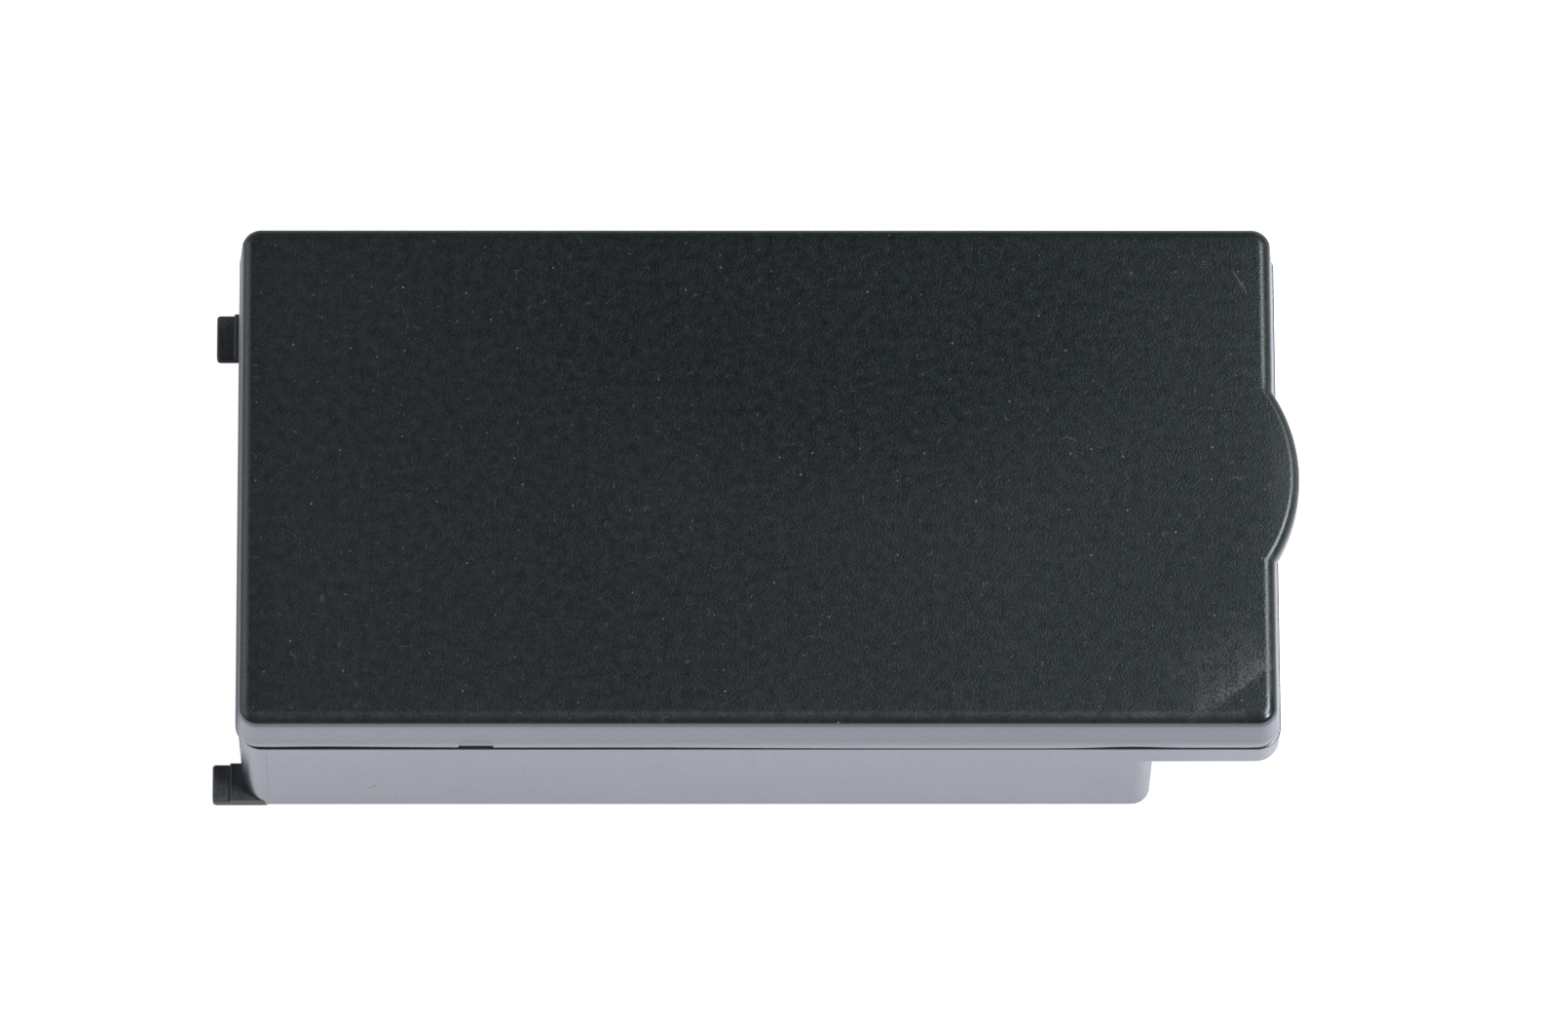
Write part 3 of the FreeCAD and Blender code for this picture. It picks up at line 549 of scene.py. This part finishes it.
# %% [markdown]
# ## The cover
# The cover is a shallow tray turned over. Its wall leans out a little towards its lower edge, as a
# moulding must to leave its mould, and its corners are parts of cones for the same reason. The solid
# has these forms too; here they get a finer rounded edge, a skirt whose lower edge stands off the
# case by a gap that changes along its length as in the picture, and a rounded lip.
# The sizes follow the solid's, apart from a little more lean in front and a lip end set slightly
# back so that the rim below it shows, and the finer shell stays in the same box.

# %% Sizes of the cover, in millimetres
TOP = 24.2
SKIRT_EDGE = 18.0
RIM_TOP = 17.65
SKIRT_LEFT, SKIRT_RIGHT, SKIRT_HALF = -54.675, 55.125, 28.5
SKIRT_CORNER = 2.4
LEAN, FRONT_LEAN = 0.45, 0.63
EDGE_ROUND, LIP_EDGE_ROUND, FRONT_STRETCH = 1.4, 1.15, 1.15
LIP_HALF, LIP_REACH, LIP_UNDER, LIP_ROUND = 9.75, 2.8, 21.4, 0.3
INSIDE_LEFT, INSIDE_RIGHT, INSIDE_HALF, INSIDE_CORNER = -52.825, 53.325, 26.9, 1.0
REBATE, REBATE_TOP, ROOF_UNDER = 0.9, 19.5, 22.6
NOTCH_LEFT, NOTCH_RIGHT, NOTCH_HEIGHT = -31.175, -27.575, 0.5
LIP_WALL = SKIRT_RIGHT - LEAN
LIP_RADIUS = (LIP_HALF**2 + LIP_REACH**2) / (2 * LIP_REACH)
LIP_CENTRE = LIP_WALL + LIP_REACH - LIP_RADIUS

# %% [markdown]
# Every level line of the cover is the same tour: right-hand edge, lip, corner, back, corner, left,
# corner, front, corner. Each stretch has a fixed number of stops, given here as shares of its length
# or as angles, so that the points of neighbouring lines match up. The front has extra stops where the
# notch begins and ends, so that its sides come out steep.

# %% Stops along the tour of a level line
part = np.linspace(0.0, 1.0, 13)[:-1]
edge_stops = np.linspace(0.0, 1.0, 25)[:-1]
long_stops = np.linspace(0.0, 1.0, 161)[:-1]
corner_turn = np.linspace(0.0, math.pi / 2, 17)[:-1]
lip_stops = np.linspace(-1.0, 1.0, 65)
STEEP = 0.03
first_x = SKIRT_LEFT + SKIRT_CORNER
last_x = SKIRT_RIGHT - SKIRT_CORNER
notch_x = np.array([NOTCH_LEFT - STEEP, NOTCH_LEFT, NOTCH_RIGHT, NOTCH_RIGHT + STEEP])
front_stops = np.sort(np.concatenate([long_stops, (notch_x - first_x) / (last_x - first_x)]))
print("stops along the front:", len(front_stops), "on the lip:", len(lip_stops))

# %% [markdown]
# One function gives all the level lines at once, one row for each. Carrying a profile round the
# outline with a modifier would be shorter, but the lip and the leaning corners need a line that
# changes its shape from level to level.


# %% Level lines of the cover
def level_lines(left, right, near, far, corner, lip_radius=None, meet=None):
    """Level lines as rows of (x, y); near and far are the distances of the front and the back.

    Each is a rectangle whose corners are quarter circles: a corner's point is its centre plus the
    radius times the cosine and sine of the turn. On the right-hand edge the stretch between -meet and
    +meet follows the lip's circle, or stays straight where no lip radius is given.
    """
    sizes = (left, right, near, far, corner)
    left, right, near, far, corner = (np.atleast_1d(size)[:, None] for size in sizes)
    near_flat = near - corner
    far_flat = far - corner
    meet = np.atleast_1d(meet)[:, None]
    if lip_radius is None:
        lip_x = right + 0 * lip_stops[:-1]
        lip_y = meet * lip_stops[:-1]
    else:
        lip_radius = np.atleast_1d(lip_radius)[:, None]
        turn = np.arcsin(meet / lip_radius) * lip_stops[:-1]
        lip_x = LIP_CENTRE + lip_radius * np.cos(turn)
        lip_y = lip_radius * np.sin(turn)
    cosine = np.cos(corner_turn)
    sine = np.sin(corner_turn)
    inner_left = left + corner
    inner_right = right - corner
    tour = [
        (right + 0 * part, -near_flat + (near_flat - meet) * part),
        (lip_x, lip_y),
        (right + 0 * part, meet + (far_flat - meet) * part),
        (inner_right + corner * cosine, far_flat + corner * sine),
        (inner_right + (inner_left - inner_right) * long_stops, far + 0 * long_stops),
        (inner_left - corner * sine, far_flat + corner * cosine),
        (left + 0 * edge_stops, far_flat - (far_flat + near_flat) * edge_stops),
        (inner_left - corner * cosine, -near_flat - corner * sine),
        (inner_left + (inner_right - inner_left) * front_stops, -near + 0 * front_stops),
        (inner_right + corner * sine, -near_flat - corner * cosine),
    ]
    across = np.concatenate([x for x, y in tour], axis=1)
    along = np.concatenate([y for x, y in tour], axis=1)
    return np.stack([across, along], axis=-1)


def lip_meets_wall(wall_out, lip_out):
    """Half the width at which the lip's circle, moved out by lip_out, cuts the wall moved by wall_out.

    It is the root of the radius squared less the wall's distance from the circle's centre squared.
    """
    return np.sqrt((LIP_RADIUS + lip_out) ** 2 - (LIP_WALL + wall_out - LIP_CENTRE) ** 2)


def with_height(lines, height):
    """Give level lines their heights: one number for each row, or one for each point."""
    height = np.broadcast_to(np.asarray(height, dtype=float), lines.shape[:2])
    return np.concatenate([lines, height[..., None]], axis=-1)


print("points on one level line:", level_lines(-1, 1, 28, 28, 0.5, None, 9).shape[1])

# %% [markdown]
# The top half of the cover: from the middle of the flat top out to the rounded edge, over it, and
# down the wall to the underside of the lip. The rounded edge is a quarter circle that ends where it
# touches the leaning wall. The lip takes the same profile along its own circle.

# %% Top, rounded edge and upper wall
lean_angle = math.atan(LEAN / (TOP - SKIRT_EDGE))
round_turn = np.linspace(0.0, math.pi / 2 - lean_angle, 17)
arc_start = -EDGE_ROUND * (1 - math.sin(lean_angle)) / math.cos(lean_angle)
round_wall = arc_start + EDGE_ROUND * np.sin(round_turn)
round_lip = -LIP_EDGE_ROUND + LIP_EDGE_ROUND * np.sin(round_turn)
round_height = TOP - EDGE_ROUND + EDGE_ROUND * np.cos(round_turn)


def cover_lines(wall_out, lip_out=None, meet=None):
    """Level lines of the cover's outside; wall_out is how far the wall stands out from its top line."""
    wall_out = np.asarray(wall_out, dtype=float)
    inset = LEAN - wall_out
    near_inset = FRONT_LEAN - wall_out * np.where(wall_out < 0, FRONT_STRETCH, FRONT_LEAN / LEAN)
    lip_radius = None if lip_out is None else LIP_RADIUS + lip_out
    meet = lip_meets_wall(wall_out, lip_out) if meet is None else meet + 0 * wall_out
    sides = (SKIRT_LEFT + inset, SKIRT_RIGHT - inset)
    front_and_back = (SKIRT_HALF - near_inset, SKIRT_HALF - inset)
    return level_lines(*sides, *front_and_back, SKIRT_CORNER - inset, lip_radius, meet)


rounded_edge = with_height(cover_lines(round_wall, round_lip), round_height[:, None])
shrink = np.linspace(0.0, 1.0, 13)[:, None, None] ** 0.8
top_middle = np.array([0.0, 0.0, TOP])
flat_top = top_middle + (rounded_edge[:1] - top_middle) * shrink

lip_turn = np.linspace(0.0, math.pi / 2, 6)
under_height = LIP_UNDER + LIP_ROUND * (1 - np.sin(lip_turn))
under_lip = -LIP_ROUND * (1 - np.cos(lip_turn))
wall_height = np.concatenate([[round_height[-1]], [TOP - 2.0], under_height])
wall_lip = np.concatenate([[round_lip[-1]], [0.0], under_lip])
wall_out = LEAN * (TOP - wall_height) / (TOP - SKIRT_EDGE)
upper_wall = with_height(cover_lines(wall_out, wall_lip), wall_height[:, None])
print("rows:", len(flat_top), len(rounded_edge), len(upper_wall))

# %% [markdown]
# The underside of the lip is a flat strip between the lip's lower edge and the wall behind it, drawn
# as straight lines from the one to the other.

# %% Underside of the lip
ledge_meet = lip_meets_wall(wall_out[-1], wall_lip[-1])
ledge_turn = np.arcsin(ledge_meet / (LIP_RADIUS + wall_lip[-1])) * lip_stops
lip_edge = LIP_CENTRE + (LIP_RADIUS + wall_lip[-1]) * np.cos(ledge_turn)
lip_side = (LIP_RADIUS + wall_lip[-1]) * np.sin(ledge_turn)
inwards = np.linspace(0.0, 1.0, 5)[:, None]
ledge_x = lip_edge + (LIP_WALL + wall_out[-1] - lip_edge) * inwards
ledge_y = lip_side + (ledge_meet * lip_stops - lip_side) * inwards
lip_ledge = np.stack([ledge_x, ledge_y, np.full_like(ledge_x, LIP_UNDER)], axis=-1)
print("width of the lip's underside in mm:", round(2 * float(ledge_meet), 2))

# %% [markdown]
# Below the lip the wall goes down to its lower edge. A straight edge would be simpler, but the real
# one wanders: it stands well off the case near the hooks, closes past the middle and opens again
# above the step and towards the lip end. Smooth hills added up give that line, and a pry notch is cut
# into the front.


# %% The skirt and its wandering edge
def hill(x, middle, width):
    """A smooth hill one unit high: e to minus the squared distance from its middle, in widths."""
    return np.exp(-(((x - middle) / width) ** 2))


def edge_lift(lines):
    """How far the skirt's lower edge stands above the rim of the case, in mm.

    A small even gap, plus hills along X, plus a ramp at either end, plus the height of the notch.
    """
    x, y = lines[..., 0], lines[..., 1]
    gap = 0.16 + 0.42 * hill(x, -42.0, 22.0) + 0.25 * hill(x, -10.0, 13.0) + 0.50 * hill(x, 39.5, 4.5)
    gap = gap + 0.22 * hill(x, -46.0, 7.0) + 0.24 * hill(x, 49.5, 5.0)
    gap = gap + 0.32 * np.clip((x - 51.5) / 2.5, 0.0, 1.0)
    gap = gap + 0.20 * np.clip((-51.0 - x) / 2.0, 0.0, 1.0)
    between_sides = (x > NOTCH_LEFT - 0.5 * STEEP) & (x < NOTCH_RIGHT + 0.5 * STEEP)
    in_front = y < -INSIDE_HALF - REBATE - 0.05
    return gap + NOTCH_HEIGHT * (between_sides & in_front)


FINE_ROUND = 0.15
edge_turn = np.linspace(0.0, math.pi / 2, 5)
straight = np.array([LIP_UNDER, 20.4, 19.4])
skirt_lines = cover_lines(LEAN * (TOP - straight) / (TOP - SKIRT_EDGE), None, ledge_meet)
upper_skirt = with_height(skirt_lines, straight[:, None])
lower_lines = cover_lines(LEAN - FINE_ROUND * (1 - np.cos(edge_turn)), None, ledge_meet)
lower_height = RIM_TOP + edge_lift(lower_lines) + FINE_ROUND * (1 - np.sin(edge_turn))[:, None]
skirt = np.concatenate([upper_skirt, with_height(lower_lines, lower_height)])
print("skirt edge height in mm:", round(skirt[-1, :, 2].min(), 2), "to", round(skirt[-1, :, 2].max(), 2))

# %% [markdown]
# Inside, the cover has a rebate that takes the tongue of the case, and above it the hollow. None of
# it shows, but a shell with a real thickness lets no light through the seam and can be cut open.

# %% Inside of the cover
inside_depth = np.array([REBATE, REBATE, 0.0, 0.0])
inside_lines = level_lines(
    INSIDE_LEFT - inside_depth,
    INSIDE_RIGHT + inside_depth,
    INSIDE_HALF + inside_depth,
    INSIDE_HALF + inside_depth,
    INSIDE_CORNER + inside_depth,
    None,
    np.full(4, ledge_meet),
)
inside_height = np.array([[0.0], [REBATE_TOP], [REBATE_TOP], [ROOF_UNDER]]) + 0 * inside_lines[..., 0]
inside_height[0] = RIM_TOP + edge_lift(inside_lines[0])
inside = np.concatenate([skirt[-1:], with_height(inside_lines, inside_height)])
roof_middle = np.array([0.0, 0.0, ROOF_UNDER])
roof = inside[-1:] + (roof_middle - inside[-1:]) * np.linspace(0.0, 1.0, 9)[:, None, None]
print("rows inside:", len(inside), "and across the roof:", len(roof))

# %% [markdown]
# Two fingers hang from the roof and hold the end of the protection board down on its posts. They are
# moulded with the cover, so they belong to its shell. They reach a little into the roof, so that no
# crack shows between them.


# %% Fingers under the roof
def block(low, high):
    """A plain block, in mm.

    Its four corners are carried from the middle of its foot, up its sides, to the middle of its head.
    """
    low, high = np.array(low), np.array(high)
    corners = np.array([(0.0, 0.0), (1.0, 0.0), (1.0, 1.0), (0.0, 1.0)])
    spread = np.array([0.0, 1.0, 1.0, 0.0])[:, None, None]
    level = np.array([0.0, 0.0, 1.0, 1.0])[:, None, None] + np.zeros((4, 4, 1))
    return low + (high - low) * np.concatenate([0.5 + (corners - 0.5) * spread, level], axis=-1)


BOARD_TOP, BOARD_RIGHT = 17.35, 52.225
FINGER_SPREAD, FINGER_HALF, FINGER_THICK, INTO_ROOF = 10.6, 1.5, 1.0, 0.4
finger_low = np.array([BOARD_RIGHT - FINGER_THICK, -FINGER_HALF, BOARD_TOP])
finger_high = np.array([BOARD_RIGHT, FINGER_HALF, ROOF_UNDER + INTO_ROOF])
sideways = np.array([0.0, FINGER_SPREAD, 0.0])
fingers = [block(finger_low + side * sideways, finger_high + side * sideways) for side in (-1, 1)]
print("fingers:", len(fingers))

# %% [markdown]
# All the grids share their border rows, so they weld into one closed shell. The grain of the top runs
# over the upper rows of the rounded edge and stops before the wall, except at the back, where it runs
# on to the end of the rounding. So the lower rows are turned round to begin at the back and are cut
# in two there.

# %% Join the cover
GRAINED, SATIN = 0, 1
GRAIN_ENDS = 11
at_back = np.flatnonzero(rounded_edge[-1, :, 1] > SKIRT_HALF - SKIRT_CORNER)
lower_round = np.roll(rounded_edge[GRAIN_ENDS:], -at_back[0], axis=1)
lower_round = np.concatenate([lower_round, lower_round[:, :1]], axis=1)
cover_grids = [
    (flat_top, True, GRAINED),
    (rounded_edge[: GRAIN_ENDS + 1], True, GRAINED),
    (lower_round[:, : len(at_back)], False, GRAINED),
    (lower_round[:, len(at_back) - 1 :], False, SATIN),
    (upper_wall, True, SATIN),
    (lip_ledge, False, SATIN),
    (skirt, True, SATIN),
    (inside, True, SATIN),
    (roof, True, SATIN),
    *((finger, True, SATIN) for finger in fingers),
]
cover_shell = build_piece("cover_shell", cover_grids, [grained_black, satin_skirt])
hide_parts("top_cover")

# %% [markdown]
# ## The lower case
# The solid of the lower case already has its drafted walls, its step, the windows and the hooks, and
# its faces are finely divided, so it stays as it is and gets the satin finish.


# %% Dress the lower case
def dress(names, finish):
    """Give solids of the pack their finish."""
    for name in names:
        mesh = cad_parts[name].data
        mesh.materials.clear()
        mesh.materials.append(finish)
    print(finish.name, "on", ", ".join(names))


dress(["lower_case"], satin_case)

# %% [markdown]
# The hooks slide in the device's slots, which has rubbed their gloss away and left fine lines across
# them. They are part of the case's solid, so they get a second, duller black on that solid: noise
# drawn out along Y, and no coat.

# %% Finish: dull black for the hooks
hook_black, tree, shader = new_finish("hook_black", IOR=1.5, Specular_IOR_Level=0.25)
where = place(tree)
fine = grain(tree, where, 0.0003, 3.0, 0.6)
drawn = grain(tree, where, 0.0006, 2.0, stretch=(1.0, 0.1, 1.0))
tone = maths(tree, "ADD", maths(tree, "MULTIPLY", fine, 0.5), maths(tree, "MULTIPLY", drawn, 0.5))
tone = rescale(tree, tone, 0.4, 0.6)
black = blend(tree, tone, (0.044, 0.049, 0.055, 1), (0.073, 0.081, 0.090, 1))
tree.links.new(black, shader.inputs["Base Color"])
tree.links.new(rescale(tree, fine, 0.3, 0.7, 0.40, 0.55), shader.inputs["Roughness"])
print("finish:", hook_black.name)

# %% [markdown]
# Which faces belong to the hooks is read from the solid: those beyond the end wall, and at the low
# corners of the case those that lie flat or face straight to the front.

# %% Dress the hooks
HOOK_ROOT, HOOK_CORNER, HOOK_HEIGHT = -54.45, -51.9, 2.2
case_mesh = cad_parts["lower_case"].data
case_mesh.materials.append(hook_black)
middles = np.empty(3 * len(case_mesh.polygons))
facing = np.empty(3 * len(case_mesh.polygons))
case_mesh.polygons.foreach_get("center", middles)
case_mesh.polygons.foreach_get("normal", facing)
middles = middles.reshape(-1, 3) / MM
facing = facing.reshape(-1, 3)
low_corner = (middles[:, 0] < HOOK_CORNER) & (middles[:, 2] < HOOK_HEIGHT)
flat_or_front = (facing[:, 2] > 0.9) | (facing[:, 1] < -0.98)
on_hook = (middles[:, 0] < HOOK_ROOT) | (low_corner & flat_or_front)
case_mesh.polygons.foreach_set("material_index", on_hook.astype(np.int32))
print("faces on the hooks:", int(on_hook.sum()))

# %% [markdown]
# ## Marks on the front walls
# Two small marks show on the case: a short scratch, and a thin upright crease where the corner
# begins. Each is an egg-shaped sliver half sunk in its wall, drawn out as the mark needs it.


# %% Marks on the front walls
def pebble(middle, reach, tilt=0.0, lean=0.0):
    """An egg-shaped sliver in a front wall, in mm.

    A point is the middle plus the reach along each axis times the cosine or sine of two angles; the
    sliver is then turned by tilt within the wall, and lean tips it back with the wall's draft.
    """
    down = np.linspace(0.0, math.pi, 13)[:, None]
    around = np.linspace(0.0, 2 * math.pi, 17)[:-1][None, :]
    x = reach[0] * np.sin(down) * np.cos(around)
    y = reach[1] * np.sin(down) * np.sin(around)
    z = reach[2] * np.cos(down) + 0 * around
    turn = math.radians(tilt)
    across = x * math.cos(turn) + z * math.sin(turn)
    up = z * math.cos(turn) - x * math.sin(turn)
    return np.array(middle) + np.stack([across, y - lean * up, up], axis=-1)


def speckled(name, dark, pale, size):
    """A dull finish of two mingled tones."""
    finish, tree, shader = new_finish(name, Roughness=0.85)
    tone = rescale(tree, grain(tree, place(tree), size, 3.0), 0.35, 0.65)
    tree.links.new(blend(tree, tone, dark, pale), shader.inputs["Base Color"])
    return finish


CASE_LEAN = 0.15 / RIM_TOP
scuff = speckled("scuff", (0.22, 0.23, 0.25, 1.0), (0.46, 0.47, 0.50, 1.0), 0.0003)
mark_grids = [
    (pebble((-40.40, -28.40, 5.95), (0.05, 0.02, 0.75), tilt=35.0, lean=CASE_LEAN), True, 0),
    (pebble((-51.45, -28.425, 8.6), (0.030, 0.012, 8.2), lean=CASE_LEAN), True, 0),
]
wall_marks = build_piece("wall_marks", mark_grids, [scuff])

# %% [markdown]
# ## Bare metal inside
# The closed pack holds six flat cells in cans drawn from aluminium, joined by rolled nickel strips,
# and four gold-plated contacts. Drawing, rolling and wiping all leave fine lines along one direction,
# so one function makes the three metals: noise drawn out along that direction, and faint stains.


# %% Dress the cells, the strips and the contacts
def bare_metal(name, dark, pale, stretch, roughness):
    """Metal with fine lines drawn out along one axis; stretch is small along that axis."""
    finish, tree, shader = new_finish(name, Metallic=1.0)
    where = place(tree)
    lines = grain(tree, where, 0.0004, 3.0, 0.6, stretch=stretch)
    stains = grain(tree, where, 0.006, 3.0)
    tone = maths(tree, "ADD", maths(tree, "MULTIPLY", lines, 0.6), maths(tree, "MULTIPLY", stains, 0.4))
    tree.links.new(blend(tree, rescale(tree, tone, 0.35, 0.65), dark, pale), shader.inputs["Base Color"])
    tree.links.new(rescale(tree, lines, 0.3, 0.7, roughness, roughness + 0.14), shader.inputs["Roughness"])
    bump = node(tree, "Bump", {"Height": lines, "Strength": 0.2, "Distance": 0.00002})
    tree.links.new(bump.outputs[0], shader.inputs["Normal"])
    return finish


aluminium_tones = (0.56, 0.57, 0.59, 1), (0.76, 0.77, 0.78, 1)
nickel_tones = (0.46, 0.43, 0.38, 1), (0.66, 0.62, 0.56, 1)
gold_tones = (0.72, 0.47, 0.17, 1), (0.95, 0.70, 0.31, 1)
drawn_aluminium = bare_metal("drawn_aluminium", *aluminium_tones, stretch=(1, 0.05, 1), roughness=0.28)
rolled_nickel = bare_metal("rolled_nickel", *nickel_tones, stretch=(0.06, 1, 1), roughness=0.24)
gold_plate = bare_metal("gold_plate", *gold_tones, stretch=(0.08, 1, 1), roughness=0.20)
dress([f"cell_{number}" for number in range(1, 7)], drawn_aluminium)
dress([f"strip_{number}" for number in range(1, 6)] + ["positive_lead", "negative_lead"], rolled_nickel)
dress([f"contact_{number}" for number in range(1, 5)], gold_plate)

# %% [markdown]
# ## Sheets
# Thin sheets keep the cells apart and still. Insulating paper shows its fibres, the bedding tape its
# lengthwise threads. Both are noise drawn out along X, more so for the threads, so one function makes
# both.


# %% Dress the sheets
def fibre_sheet(name, dark, pale, stretch, roughness):
    """A sheet whose fibres are noise drawn out along one axis and crossed by a little plain noise."""
    finish, tree, shader = new_finish(name)
    where = place(tree)
    fibres = grain(tree, where, 0.0005, 4.0, 0.65, stretch=stretch)
    cloud = grain(tree, where, 0.003, 3.0)
    tone = maths(tree, "ADD", maths(tree, "MULTIPLY", fibres, 0.7), maths(tree, "MULTIPLY", cloud, 0.3))
    tree.links.new(blend(tree, rescale(tree, tone, 0.35, 0.65), dark, pale), shader.inputs["Base Color"])
    tree.links.new(rescale(tree, fibres, 0.3, 0.7, roughness, roughness + 0.12), shader.inputs["Roughness"])
    bump = node(tree, "Bump", {"Height": fibres, "Strength": 0.3, "Distance": 0.00004})
    tree.links.new(bump.outputs[0], shader.inputs["Normal"])
    return finish


paper_tones = (0.26, 0.33, 0.27, 1), (0.40, 0.47, 0.38, 1)
tape_tones = (0.50, 0.47, 0.36, 1), (0.68, 0.65, 0.53, 1)
insulating_paper = fibre_sheet("insulating_paper", *paper_tones, stretch=(0.25, 1, 1), roughness=0.72)
threaded_tape = fibre_sheet("threaded_tape", *tape_tones, stretch=(0.03, 1, 1), roughness=0.40)
dress(["layer_sheet", "front_paper", "rear_paper"], insulating_paper)
dress(["bedding_tape"], threaded_tape)

# %% [markdown]
# ## Foam
# A foam pad presses the cells down. Its bubbles come from a cell pattern: the further from a point,
# the higher the wall of the bubble. The colour follows the same pattern as painted shade: dark in the
# hollows, paler on the walls.

# %% Dress the foam
BUBBLES_IN_A_METRE = 2600.0
foam, tree, shader = new_finish("grey_foam", Roughness=0.95)
bubbles = node(tree, "TexVoronoi", {"Vector": place(tree), "Scale": BUBBLES_IN_A_METRE})
depth = rescale(tree, bubbles.outputs["Distance"], 0.1, 0.8)
# Painted shade: the hollows of the bubbles are darker, their walls paler.
grey = blend(tree, depth, (0.022, 0.022, 0.024, 1), (0.085, 0.085, 0.088, 1))
tree.links.new(grey, shader.inputs["Base Color"])
bump = node(tree, "Bump", {"Height": depth, "Strength": 0.8, "Distance": 0.0001})
tree.links.new(bump.outputs[0], shader.inputs["Normal"])
dress(["foam_pad"], foam)

# %% [markdown]
# ## The protection board
# The board is glass fibre under a green varnish. Copper areas below the varnish show as paler
# rectangles with dark gaps between them, which is what a brick pattern draws.

# %% Dress the board
varnish, tree, shader = new_finish("green_varnish")
where = place(tree)
copper = node(
    tree,
    "TexBrick",
    {
        "Vector": where,
        "Color1": (0.012, 0.105, 0.036, 1),
        "Color2": (0.020, 0.150, 0.055, 1),
        "Mortar": (0.006, 0.060, 0.020, 1),
        "Scale": 1000.0,
        "Mortar Size": 0.08,
        "Brick Width": 3.1,
        "Row Height": 1.3,
    },
).outputs["Color"]
weave = rescale(tree, grain(tree, where, 0.0006, 2.0), 0.3, 0.7)
green = blend(tree, maths(tree, "MULTIPLY", weave, 0.3), copper, (0.03, 0.17, 0.07, 1))
tree.links.new(green, shader.inputs["Base Color"])
tree.links.new(rescale(tree, weave, 0.0, 1.0, 0.26, 0.40), shader.inputs["Roughness"])
dress(["protection_board"], varnish)

# %% [markdown]
# ## The small parts on the board
# The chip and the two switches are moulded in black epoxy, a dull and finely speckled plastic. The
# resistor, the fuse and the thermistor have tinned ends for soldering: the two outer shares of their
# length, measured along Y from each solid's own box.

# %% Dress the small parts on the board
epoxy = speckled("chip_epoxy", (0.010, 0.010, 0.011, 1), (0.024, 0.024, 0.026, 1), 0.0001)
dress(["control_chip", "charge_switch", "discharge_switch"], epoxy)


def tinned_ends(solid, dark, pale, share):
    """A ceramic body with a metal cap over a share of its length at either end."""
    finish, tree, shader = new_finish(f"{solid}_finish")
    where = place(tree)
    low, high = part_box(solid)
    along_part = node(tree, "SeparateXYZ", {0: where}).outputs["Y"]
    from_middle = maths(tree, "SUBTRACT", along_part, (low[1] + high[1]) / 2)
    cap = (high[1] - low[1]) * (0.5 - share)
    capped = maths(tree, "GREATER_THAN", maths(tree, "ABSOLUTE", from_middle), cap)
    tone = rescale(tree, grain(tree, where, 0.0003, 3.0), 0.35, 0.65)
    tin = blend(tree, tone, (0.52, 0.52, 0.53, 1), (0.70, 0.70, 0.71, 1))
    tree.links.new(blend(tree, capped, blend(tree, tone, dark, pale), tin), shader.inputs["Base Color"])
    tree.links.new(capped, shader.inputs["Metallic"])
    tree.links.new(rescale(tree, tone, 0.0, 1.0, 0.38, 0.55), shader.inputs["Roughness"])
    dress([solid], finish)


tinned_ends("sense_resistor", (0.014, 0.015, 0.016, 1), (0.030, 0.031, 0.033, 1), 0.16)
tinned_ends("chip_fuse", (0.56, 0.54, 0.49, 1), (0.70, 0.68, 0.63, 1), 0.20)
tinned_ends("thermistor", (0.070, 0.055, 0.045, 1), (0.120, 0.098, 0.080, 1), 0.22)

# %% [markdown]
# ## Print the boxes
# Blender must not change the size of the pack. The box of the solids and the box of what is seen are
# written side by side.

# %% Write both boxes and finish
low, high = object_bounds()
boxes = {"cad": [list(cad_low), list(cad_high)], "visual": [list(low), list(high)]}
for name, box in boxes.items():
    print(name, "box in mm:", [[round(v / MM, 2) for v in corner] for corner in box])
